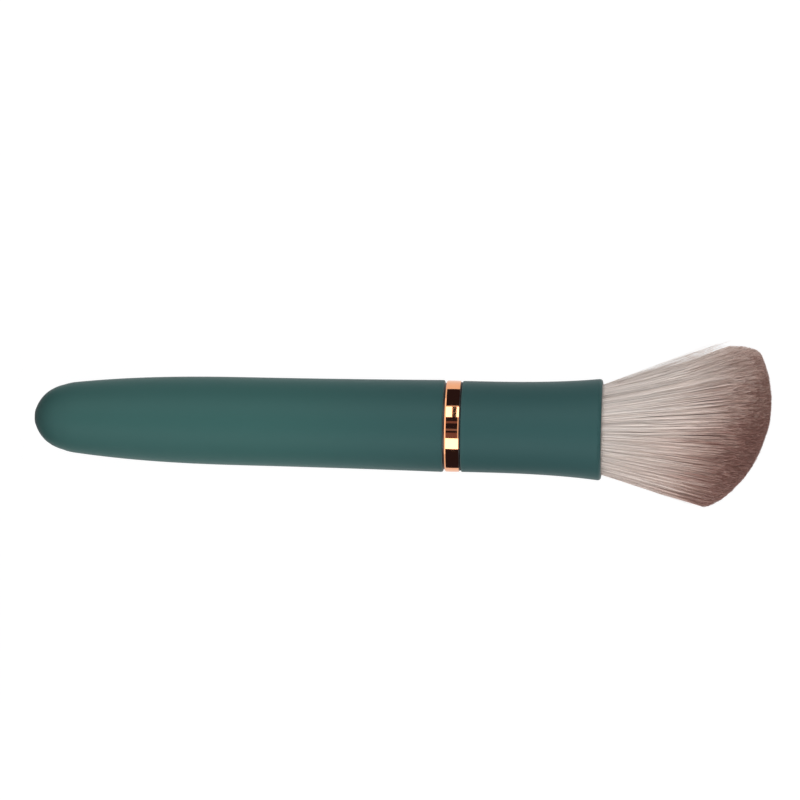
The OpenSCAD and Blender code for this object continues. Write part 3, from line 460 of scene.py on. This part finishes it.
tail_start = span("handle_shell")[0]
pocket_start = tail_start + tail_wall
pocket_r = button_flange_r + pocket_gap
mouth_start = span("inner_frame")[1] - mouth_depth
first_place = 1.7 * tail_start
nose_angle = math.acos(1 - first_place / nose_len)
nose_turns = [nose_angle + (math.pi / 2 - nose_angle) * i / nose_places for i in range(nose_places + 1)]
outer = [nose_len * (1 - math.cos(turn)) for turn in nose_turns]
outer += [nose_len + (handle_len - nose_len) * i / body_places for i in range(1, body_places + 1)]
inner_start = pocket_start + shell_wall / 2
inner_run = mouth_start - pocket_start - shell_wall / 2
inner = [inner_start + inner_run * (i / inner_places) ** inner_crowding for i in range(inner_places + 1)]
shell_outline = (
    [(tail_start, button_hole_r), (tail_start, tail_flat_r)]
    + [(x, handle_r(x)) for x in outer]
    + [(handle_len, collar_r - mouth_wall), (mouth_start, collar_r - mouth_wall)]
    + [(x, handle_r(x - shell_wall) - shell_wall) for x in reversed(inner)]
    + [(inner[0], pocket_r), (pocket_start, pocket_r), (pocket_start, button_hole_r)]
)
shell_bm = turned(shell_outline)
collar_edges = [
    e for e in shell_bm.edges
    if all(abs(v.co.x - handle_len) < on_edge and v.co.yz.length > collar_r - mouth_wall / 2 for v in e.verts)
]
rounded(shell_bm, collar_edges, edge_round)
handle_piece = piece("handle_shell_coated", shell_bm, soft_touch, "handle", "soft_touch_teal", "handle_shell")

# The port's hole is drilled square to the shell
port_start, port_end, _ = span("port_grommet")
port_place = (port_start + port_end) / 2
drill_bm = bmesh.new()
bmesh.ops.create_cone(
    drill_bm, cap_ends=True, segments=drill_sides, radius1=port_hole_r, radius2=port_hole_r, depth=collar_r,
    matrix=lay_down @ Matrix.Translation((port_place, 0, -collar_r)),
)
drill_mesh = bpy.data.meshes.new("port_drill")
drill_bm.to_mesh(drill_mesh)
drill_bm.free()
drill = bpy.data.objects.new("port_drill", drill_mesh)
bpy.context.scene.collection.objects.link(drill)
cut = handle_piece.modifiers.new("port", "BOOLEAN")
cut.operation = "DIFFERENCE"
cut.object = drill
bpy.context.view_layer.update()
drilled = bpy.data.meshes.new_from_object(handle_piece.evaluated_get(bpy.context.evaluated_depsgraph_get()))
handle_piece.modifiers.remove(cut)
handle_piece.data = drilled
bpy.data.objects.remove(drill)

# ---- Tail button, its seal and plunger ----
# A small hard disc of plastic closes the nose and is pressed to switch the motor. Its dark colour is partly
# painted shade, for the end of the nose faces away from the light. A rubber washer behind the shell's tail
# keeps water out, and a plunger passes the press on to the switch.
button_r = 1.8 * MM
flange_start = 3.077 * MM
flange_end = flange_start + 0.8 * MM
stem_r = 1.3 * MM
button_round = 0.15 * MM
dark_plastic_and_shade = finish("button_plastic", "2a3634", "202a29", 3 * MM, (0.38, 0.5), 0.08 * MM, 0.004 * MM)
button_bm = turned([
    (button_start, 0), (button_start, button_r), (flange_start, button_r), (flange_start, button_flange_r),
    (flange_end, button_flange_r), (flange_end, stem_r), (button_end, stem_r), (button_end, 0),
], closed=False, turns=small_turns)
soften(button_bm, button_round, 3)
piece("tail_button_cap", button_bm, dark_plastic_and_shade, "button", "dark_button", "tail_button")


def dress(material, *names):
    """Gives CAD nodes that keep their shape a finish of their own."""
    for name in names:
        nodes[name].data.materials.clear()
        nodes[name].data.materials.append(material)


black_rubber = finish("black_rubber", "1d1d1e", "141415", 2 * MM, (0.6, 0.75), 0.1 * MM, 0.006 * MM)
dress(black_rubber, "button_seal", "case_seal", "grip_ring")
pale_plastic = finish("pale_plastic", "dcd8cb", "cfcabb", 5 * MM, (0.35, 0.45), 0.15 * MM, 0.004 * MM)
dress(pale_plastic, "switch_plunger")

# ---- Trim ring ----
# A turned metal collar, polished and finished in rose gold, sits between the handle and the head. Its edges are
# bevelled, more on the handle's side, where a small groove shows as a dark line. Its face is crowned a little.
handle_bevel = (0.45 * MM, 0.19 * MM)
head_bevel = (0.2 * MM, 0.065 * MM)
groove_width, groove_depth = 0.1 * MM, 0.5 * MM
ring_bore_r = 9.83 * MM
ring_turns = 192
ring_crease = math.radians(12)
rose_gold = finish(
    "rose_gold", "eba578", "e79e70", 9 * MM, (0.04, 0.07), 0.08 * MM, 0.00012 * MM, metallic=1, stretch=(5, 1, 1),
)
crown_rise = 0.035 * MM
crown_steps = 12
crown_start, crown_end = ring_start + handle_bevel[0], ring_end - head_bevel[0]
crown = [
    (crown_start + (crown_end - crown_start) * i / crown_steps, ring_r - crown_rise * (2 * i / crown_steps - 1) ** 2)
    for i in range(crown_steps + 1)
]
ring_outline = (
    [(ring_start, ring_bore_r), (ring_start, ring_r - groove_depth)]
    + [(ring_start + groove_width, ring_r - handle_bevel[1])]
    + crown
    + [(ring_end, ring_r - head_bevel[1]), (ring_end, ring_bore_r)]
)
ring_bm = turned(ring_outline, turns=ring_turns)
piece("trim_ring_plated", ring_bm, rose_gold, "handle", "rose_gold", "trim_ring", crease=ring_crease)

# A thin black wear washer lies on the ring's front face, and nearly fills the running gap before the head. Its black
# is partly painted shade, standing in for the shade in that gap.
washer_end = ring_end + 0.3 * MM
washer_r = 12.0 * MM
washer_bore_r = ring_bore_r + 0.1 * MM
washer_round = 0.06 * MM
black_plastic = finish("black_plastic", "26272a", "1c1d20", 4 * MM, (0.4, 0.52), 0.12 * MM, 0.006 * MM)
washer_bm = turned([
    (ring_end, washer_bore_r), (ring_end, washer_r), (washer_end, washer_r), (washer_end, washer_bore_r),
])
soften(washer_bm, washer_round, 2)
piece("gap_shade_washer", washer_bm, black_plastic, "handle", "black_plastic")

# ---- Head sleeve ----
# The sleeve of the pull-off head, moulded and coated as the handle is. It starts as wide as the ring, flares
# to its mouth, and holds the hub at its back and the bristle cup at its front.
sleeve_start, sleeve_end, rim_r = span("head_sleeve")
sleeve_r = 12.32 * MM
sleeve_bore_r = 10.6 * MM
mouth_r = 12.53 * MM
flare_power = 3
sleeve_places = 40
back_round = 0.4 * MM
rim_round = 1.0 * MM
sleeve_len = sleeve_end - sleeve_start
sleeve_flare = rim_r - sleeve_r
cup_start, cup_end, _ = span("ferrule_cup")
sleeve_outline = (
    [(sleeve_start, sleeve_bore_r)]
    + [
        (sleeve_start + sleeve_len * i / sleeve_places, sleeve_r + sleeve_flare * (i / sleeve_places) ** flare_power)
        for i in range(sleeve_places + 1)
    ]
    + [(sleeve_end, mouth_r), (cup_end, mouth_r), (cup_start, sleeve_bore_r)]
)
sleeve_bm = turned(sleeve_outline)
for place, radius, width in ((sleeve_start, sleeve_r, back_round), (sleeve_end, rim_r, rim_round)):
    corner = [
        e for e in sleeve_bm.edges
        if all(abs(v.co.x - place) < on_edge and abs(v.co.yz.length - radius) < 2 * on_edge for v in e.verts)
    ]
    rounded(sleeve_bm, corner, width)
piece("head_sleeve_coated", sleeve_bm, soft_touch, "brush_head", "soft_touch_teal", "head_sleeve")

# ---- Hub, cup and glue plug ----
# A ribbed hub of glass-filled plastic slides on the shaft's flats. The drawn aluminium cup in front of it
# holds the roots of the bristles, set in a plug of amber glue.
dress(black_plastic, "drive_hub")
cup_metal = finish("cup_metal", "d3d5d8", "c2c4c7", 3 * MM, (0.25, 0.38), 0.06 * MM, 0.002 * MM, 1, (8, 1, 1))
dress(cup_metal, "ferrule_cup")
glue = finish("glue", "b98f4c", "9c7338", 2.5 * MM, (0.2, 0.35), 0.4 * MM, 0.02 * MM)
dress(glue, "hair_plug")

# ---- Bristles ----
# Thousands of fine tapered synthetic fibres, cream at the root and dyed mauve-brown at the tip. They stand in
# the cup, spread as a fan, and are trimmed to a domed end. They gather in small tufts and in larger locks.
HAIR_PIECES = 6
HAIRS_PER_PIECE = 6000
TUFTS = 2600
LOCKS = 150
dice = random.Random(11)

# The fan, whose centre is where its sides meet behind the cup, and the surface that it is trimmed to
fan_angle = math.radians(17.3)
fan_slant = math.radians(0.5)
fan_flat_share = 0.93
crown_lean = math.radians(8)
crown_drop = 2.2 * MM
drop_angle = math.radians(10)
edge_drop = 3.6 * MM
edge_drop_slant = 0.78
edge_start_share = 0.8
mean_ragged = 0.3 * MM
edge_ragged = 3
fan_r = 11.8 * MM
fan_centre = cup_end - fan_r / math.tan(fan_angle)
bristle_reach = 200.2 * MM - fan_centre
upper_flare = 0.22

# A fibre, from its root in the glue through the cup's mouth: places along it, widths at them, and how it strays
root_place = span("hair_plug")[1] + 0.3 * MM
root_r = 10.6 * MM
hair_r = 0.07 * MM
hair_sides = 3
hair_shares = (0, 0.35, 0.7, 1)
hair_widths = (0.9, 0.95, 1.1, 1.05, 0.4)
hair_twist = 0.5
hair_aim = 0.02
hair_bow = 0.28 * MM
bow_held = 0.8
table_gap = 0.08 * MM
table_pile = 0.4 * MM


def trim(share, lean_y, lean_z):
    """How far from the fan's centre a fibre is trimmed, by its share of the way out and by its lean."""
    crown = ((lean_y - crown_lean) ** 2 + lean_z ** 2) / drop_angle ** 2
    edge = limit((share - edge_start_share) / (1 - edge_start_share)) ** 2
    slanted_drop = edge_drop * (1 + edge_drop_slant * lean_y / fan_angle)
    ragged = dice.expovariate(1 / (mean_ragged * (1 + edge_ragged * edge)))
    return bristle_reach - crown_drop * crown - slanted_drop * edge - ragged


def towards(u, v, reach):
    """The place at a reach from the fan's centre, in direction (u, v) of a unit disc."""
    lean_y, lean_z = fan_angle * u + fan_slant, fan_angle * fan_flat_share * v
    lean = max(math.hypot(lean_y, lean_z), 1e-6)
    return Vector((
        fan_centre + reach * math.cos(lean), reach * math.sin(lean) * lean_y / lean,
        reach * math.sin(lean) * lean_z / lean,
    ))


def on_disc():
    """An even draw from the unit disc."""
    share, turn = math.sqrt(dice.random()), dice.random() * math.tau
    return share * math.cos(turn), share * math.sin(turn)


def scattered(count):
    """Places on the disc, for the nearest to be found."""
    tree = kdtree.KDTree(count)
    for i in range(count):
        tree.insert((*on_disc(), 0), i)
    tree.balance()
    return tree


# How much each tuft and lock draws its fibres in, how dark a tuft is, and how much longer a lock is
least_pull, most_pull = 0.05, 0.38
darkest_tuft = 0.28
most_lock_pull = 0.1
lock_unevenness = 0.12
least_tone = 0.8
tuft_tree, lock_tree = scattered(TUFTS), scattered(LOCKS)
tuft_pull = [dice.uniform(least_pull, most_pull) for _ in range(TUFTS)]
tuft_tone = [1 - darkest_tuft * dice.random() ** 2 for _ in range(TUFTS)]
lock_pull = [dice.uniform(0.0, most_lock_pull) for _ in range(LOCKS)]
lock_trim = [dice.gauss(0, lock_unevenness) * MM for _ in range(LOCKS)]


def hair_path(edge=None, stray=0.0, shorter=0.0, bulge=0.0):
    """One fibre's points on the brush, from its root in the glue to its tip, and its tone.

    It stands anywhere in the cup, or at a place on the edge. A stray one leans out by a share of the fan's
    radius, is cut shorter, and bulges sideways.
    """
    u, v = edge or on_disc()
    tuft_place, tuft, _ = tuft_tree.find((u, v, 0))
    lock_place, lock, _ = lock_tree.find((u, v, 0))
    to_tuft, to_lock = tuft_pull[tuft], lock_pull[lock]
    aim_u = u + (tuft_place.x - u) * to_tuft + (lock_place.x - u) * to_lock + dice.gauss(0, hair_aim)
    aim_v = v + (tuft_place.y - v) * to_tuft + (lock_place.y - v) * to_lock + dice.gauss(0, hair_aim)
    far = math.hypot(aim_u, aim_v)
    if far > 1:
        aim_u, aim_v = aim_u / far, aim_v / far
    aim_u, aim_v = aim_u * (1 + stray), aim_v * (1 + stray)
    share = min(1, far)
    long = trim(share, fan_angle * aim_u, fan_angle * fan_flat_share * aim_v) + lock_trim[lock] - shorter
    mouth = Vector((cup_end, fan_r * u, fan_r * v))
    straight = towards(u - upper_flare * max(0, u) ** 3, v, long)
    aimed = towards(aim_u, aim_v, long)
    give = hair_bow * (1 - bow_held * share ** 4)
    bow = Vector((0, bulge + dice.gauss(0, give), dice.gauss(0, give)))
    points = [Vector((root_place, root_r * u, root_r * v))]
    for t in hair_shares:
        points.append(mouth + (straight - mouth) * t + (aimed - straight) * t * t + bow * math.sin(math.pi * t))
    return points, tuft_tone[tuft] * dice.uniform(least_tone, 1)


def hair_piece(name, hairs, width):
    """A piece of many fibres: curves with a three-sided section, made one mesh, with a tone for each fibre."""
    section_data = bpy.data.curves.new(name + "_section", "CURVE")
    section_line = section_data.splines.new("POLY")
    section_line.points.add(hair_sides - 1)
    for k, point in enumerate(section_line.points):
        turn = math.tau * k / hair_sides
        point.co = (width * math.cos(turn), width * math.sin(turn), 0, 1)
    section_line.use_cyclic_u = True
    section = bpy.data.objects.new(name + "_section", section_data)
    data = bpy.data.curves.new(name, "CURVE")
    data.dimensions = "3D"
    data.bevel_mode = "OBJECT"
    data.bevel_object = section
    data.use_fill_caps = True
    for path, _ in hairs:
        line = data.splines.new("POLY")
        line.points.add(len(path) - 1)
        twist = dice.random() * math.tau
        for point, place, share in zip(line.points, path, hair_widths):
            laid = lay_down @ place
            twist += dice.gauss(0, hair_twist)
            point.tilt = twist
            floor = table_gap + table_pile * dice.random()
            point.co = (laid.x, laid.y, max(laid.z, floor), 1)
            point.radius = share
    maker = bpy.data.objects.new(name + "_curves", data)
    bpy.context.scene.collection.objects.link(section)
    bpy.context.scene.collection.objects.link(maker)
    bpy.context.view_layer.update()
    mesh = bpy.data.meshes.new_from_object(maker.evaluated_get(bpy.context.evaluated_depsgraph_get()))
    for helper in (maker, section):
        bpy.data.objects.remove(helper)
    mesh.name = name
    mesh.shade_flat()
    tones = mesh.attributes.new("tone", "FLOAT", "POINT")
    each = len(mesh.vertices) // len(hairs)
    # The mesh holds the last curve first
    values = []
    for _, value in reversed(hairs):
        values += [value] * each
    tones.data.foreach_set("value", values)
    mesh.materials.clear()
    mesh.materials.append(fibre)
    made = bpy.data.objects.new(name, mesh)
    bpy.context.scene.collection.objects.link(made)
    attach(made, "brush_head")
    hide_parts("bristles")
    return made


# The dye: cream to mauve-brown by distance from the fan's centre, in streaks that run along the fibres. The dye
# line slants across the fan and wavers, and a darker tuft is dyed from further down. The slant and the later dye
# on the upper side are partly painted light, which makes the fan's upper side paler and its lower side darker.
streaks_across, streaks_along = 60, 45
dye_start, dye_end = 40 * MM, 84 * MM
dye_waver = 8 * MM
dye_and_light_slant = -30 * MM
upper_lag = -3.8 * MM
upper_heading = 0.07
tone_lag = -36 * MM
tone_rest = 29.7 * MM
fibre = bpy.data.materials.new("dyed_fibre")
fibre.use_nodes = True
fibre_tree = fibre.node_tree
fibre_shader = fibre_tree.nodes["Principled BSDF"]
fibre_shader.inputs["Roughness"].default_value = 0.42
fibre_shader.inputs["Specular IOR Level"].default_value = 0.4
fibre_shader.inputs["Sheen Weight"].default_value = 0.3
fibre_shader.inputs["Sheen Roughness"].default_value = 0.5
fibre_shader.inputs["Sheen Tint"].default_value = paint("fbe9df")
fan_apex = lay_down @ Vector((fan_centre, 0, 0))
turn_only = pick_up.to_3x3()


def add(kind, **settings):
    """A node of the fibre's material."""
    node = fibre_tree.nodes.new(kind)
    for key, value in settings.items():
        setattr(node, key, value)
    return node


link = fibre_tree.links.new
fibre_place = add("ShaderNodeTexCoord")
from_apex = add("ShaderNodeMapping")
from_apex.inputs["Rotation"].default_value = turn_only.to_euler()
from_apex.inputs["Location"].default_value = -(turn_only @ fan_apex)
link(fibre_place.outputs["Object"], from_apex.inputs["Vector"])
distance = add("ShaderNodeVectorMath", operation="LENGTH")
link(from_apex.outputs["Vector"], distance.inputs[0])
heading = add("ShaderNodeVectorMath", operation="NORMALIZE")
link(from_apex.outputs["Vector"], heading.inputs[0])

# Streaks: a noise that is fine across the fibres and long along them
across = add("ShaderNodeVectorMath", operation="MULTIPLY")
across.inputs[1].default_value = (0, streaks_across, streaks_across)
link(heading.outputs["Vector"], across.inputs[0])
slow = add("ShaderNodeMath", operation="MULTIPLY")
slow.inputs[1].default_value = streaks_along
link(distance.outputs["Value"], slow.inputs[0])
along_hair = add("ShaderNodeCombineXYZ")
link(slow.outputs["Value"], along_hair.inputs["X"])
streak_place = add("ShaderNodeVectorMath", operation="ADD")
link(across.outputs["Vector"], streak_place.inputs[0])
link(along_hair.outputs["Vector"], streak_place.inputs[1])
streaks = add("ShaderNodeTexNoise")
streaks.inputs["Scale"].default_value = 1
streaks.inputs["Detail"].default_value = 3
link(streak_place.outputs["Vector"], streaks.inputs["Vector"])
uneven = add("ShaderNodeMath", operation="MULTIPLY_ADD")
uneven.inputs[1].default_value = 2 * dye_waver
uneven.inputs[2].default_value = -dye_waver
link(streaks.outputs["Fac"], uneven.inputs[0])

# The dye line's slant across the fan, and its lag on the fan's upper side: partly dye and partly painted light
side_of_fan = add("ShaderNodeSeparateXYZ")
link(heading.outputs["Vector"], side_of_fan.inputs["Vector"])
slanted = add("ShaderNodeMath", operation="MULTIPLY_ADD")
slanted.inputs[1].default_value = dye_and_light_slant
link(side_of_fan.outputs["Y"], slanted.inputs[0])
link(uneven.outputs["Value"], slanted.inputs[2])
upper_later = add("ShaderNodeMapRange", interpolation_type="SMOOTHSTEP")
upper_later.inputs["From Max"].default_value = upper_heading
upper_later.inputs["To Max"].default_value = upper_lag
link(side_of_fan.outputs["Y"], upper_later.inputs["Value"])
dye_and_light_low = add("ShaderNodeMath", operation="ADD")
link(slanted.outputs["Value"], dye_and_light_low.inputs[0])
link(upper_later.outputs["Result"], dye_and_light_low.inputs[1])

# A fibre's own tone moves its dye line too, and scales its colour
tone = add("ShaderNodeAttribute", attribute_name="tone")
pale_later = add("ShaderNodeMath", operation="MULTIPLY_ADD")
pale_later.inputs[1].default_value = tone_lag
pale_later.inputs[2].default_value = tone_rest
link(tone.outputs["Fac"], pale_later.inputs[0])
shifted = add("ShaderNodeMath", operation="ADD")
link(pale_later.outputs["Value"], shifted.inputs[0])
link(dye_and_light_low.outputs["Value"], shifted.inputs[1])
dye_line = add("ShaderNodeMath", operation="ADD")
link(distance.outputs["Value"], dye_line.inputs[0])
link(shifted.outputs["Value"], dye_line.inputs[1])
dye_share = add("ShaderNodeMapRange")
dye_share.inputs["From Min"].default_value = dye_start
dye_share.inputs["From Max"].default_value = dye_end
link(dye_line.outputs["Value"], dye_share.inputs["Value"])
dye = add("ShaderNodeValToRGB")
stops = dye.color_ramp.elements
for stop, code in (
    (0.14, "fef3ec"), (0.35, "feeee5"), (0.48, "fdebe2"), (0.57, "f9e3d9"),
    (0.66, "efd5ca"), (0.755, "dab5a8"), (0.85, "bc8e82"), (0.93, "b28378"),
):
    stops.new(stop).color = paint(code)
for first_or_last in (0, -1):
    stops.remove(stops[first_or_last])
link(dye_share.outputs["Result"], dye.inputs["Fac"])
toned = add("ShaderNodeVectorMath", operation="SCALE")
link(dye.outputs["Color"], toned.inputs[0])
link(tone.outputs["Fac"], toned.inputs["Scale"])
link(toned.outputs["Vector"], fibre_shader.inputs["Base Color"])

for i in range(HAIR_PIECES):
    hair_piece(f"bristles_{i + 1}", [hair_path() for _ in range(HAIRS_PER_PIECE)], hair_r)

# A few loose fibres stand off each side of the fan. For each side: how many, how far in and out they lean as a
# share of the fan's radius, and how many millimetres they bulge by
STRAYS = ((1, 64, -0.04, 0.12, 1.2), (-1, 20, -0.02, 0.04, 0.2))
stray_r = 0.045 * MM
stray_share = 0.985
stray_height = 0.4
stray_bulge = 10 * MM
longer, shorter = -1, 5
strays = []
for side, count, least, most, bulge in STRAYS:
    for _ in range(count):
        height = dice.uniform(-stray_height, stray_height)
        edge = (side * stray_share * math.sqrt(1 - height ** 2), height)
        apart = dice.triangular(least, most, 0)
        bulged = bulge * MM * dice.random() + stray_bulge * max(0, apart)
        strays.append(hair_path(edge, apart, dice.uniform(longer, shorter) * MM, side * bulged))
hair_piece("bristles_stray", strays, stray_r)

# ---- Front case and output shaft ----
# The gear case closes the handle with a black moulded spigot that the ring sits on. The steel output shaft
# runs in its bronze bush and ends in two flats, and a spring clip and a washer hold it in.
dress(black_plastic, "front_case", "charge_socket", "port_grommet", "tact_switch")
bronze = finish("bronze", "b98d4f", "a87c42", 2 * MM, (0.28, 0.4), 0.08 * MM, 0.002 * MM, 1, (10, 1, 1))
dress(bronze, "output_bush", "motor_bush")
steel = finish("steel", "c9cacc", "b5b7ba", 2 * MM, (0.16, 0.28), 0.05 * MM, 0.0015 * MM, 1, (14, 1, 1))
dress(steel, "output_shaft", "motor_shaft", "carrier_pins", "board_screws", "planet_carrier", "motor_plate")
dark_steel = finish("dark_steel", "56585c", "3f4145", 2 * MM, (0.3, 0.42), 0.1 * MM, 0.003 * MM, 1)
dress(dark_steel, "shaft_clip", "case_screws", "rotor_core")
dress(pale_plastic, "thrust_washer")

# ---- Gear train ----
# A brass pinion on the motor's shaft turns three moulded planet gears inside a fixed ring gear, four to one.
# The planets run on the steel pins of the carrier that turns the output shaft.
gear_plastic = finish("gear_plastic", "e4e0d2", "d5d0bf", 4 * MM, (0.32, 0.42), 0.12 * MM, 0.004 * MM)
dress(gear_plastic, "planet_gear_a", "planet_gear_b", "planet_gear_c", "ring_gear")
brass = finish("brass", "d0a75c", "c09749", 1.5 * MM, (0.22, 0.34), 0.05 * MM, 0.0015 * MM, 1, (10, 1, 1))
dress(brass, "sun_gear", "motor_terminals")

# ---- Motor ----
# A small brushed motor in a drawn can: two arc magnets, a three-slot rotor wound with enamelled wire, and a
# moulded end cap with its terminals.
can_steel = finish("can_steel", "c4c6c9", "b0b2b6", 3 * MM, (0.22, 0.34), 0.08 * MM, 0.002 * MM, 1, (6, 1, 1))
dress(can_steel, "motor_can")
dress(pale_plastic, "motor_end_cap")
ferrite = finish("ferrite", "3a3b3e", "2c2d30", 1.5 * MM, (0.5, 0.65), 0.1 * MM, 0.006 * MM)
dress(ferrite, "motor_magnets")
copper = finish("copper", "c47a4c", "a8603a", 1 * MM, (0.25, 0.4), 0.15 * MM, 0.02 * MM, 1, (1, 6, 1))
dress(copper, "rotor_windings", "commutator", "motor_brushes")

# ---- Battery ----
# A lithium cell in a shrink sleeve, with welded nickel tabs, fills the middle of the handle. Two soft discs cut
# from foam hold it at its ends.
cell_wrap = finish("cell_wrap", "2d62a8", "27589a", 8 * MM, (0.3, 0.38), 0.5 * MM, 0.004 * MM)
dress(cell_wrap, "battery_cell")
nickel = finish("nickel", "cfcdc6", "bdbbb3", 1.5 * MM, (0.25, 0.38), 0.06 * MM, 0.002 * MM, 1)
dress(nickel, "battery_tabs")
foam = finish("foam", "4b4b4e", "38383b", 0.8 * MM, (0.85, 0.95), 0.25 * MM, 0.06 * MM)
pad_round = 0.25 * MM
for node in ("rear_foam_pad", "front_foam_pad"):
    pad_start, pad_end, pad_r = span(node)
    pad_outline = [(pad_start, 0), (pad_start, pad_r), (pad_end, pad_r), (pad_end, 0)]
    pad_bm = turned(pad_outline, closed=False, turns=small_turns)
    soften(pad_bm, pad_round, 3)
    pad = piece(node + "_cut", pad_bm, foam, "handle", "foam", node)

# ---- Board and wiring ----
# A green board with its chips, held by two screws, charges the cell and drives the motor. Soldered leads in soft
# sleeves run from it to both.
board_mask = finish("board_mask", "1f6a44", "185a39", 1.2 * MM, (0.28, 0.4), 0.3 * MM, 0.01 * MM)
dress(board_mask, "control_board")
chip_resin = finish("chip_resin", "232427", "191a1c", 1 * MM, (0.45, 0.6), 0.05 * MM, 0.004 * MM)
dress(chip_resin, "board_chips")
red_sleeve = finish("red_sleeve", "b3201c", "9a1a17", 2 * MM, (0.4, 0.5), 0.1 * MM, 0.004 * MM)
dress(red_sleeve, "battery_leads")
yellow_sleeve = finish("yellow_sleeve", "d6b82a", "c4a620", 2 * MM, (0.4, 0.5), 0.1 * MM, 0.004 * MM)
dress(yellow_sleeve, "motor_leads")

# ---- Inner frame ----
# A cradle of natural plastic carries the board, the cell and the motor, and slides into the shell with them. It
# keeps its CAD shape, as everything inside but the pads does.
dress(pale_plastic, "inner_frame")
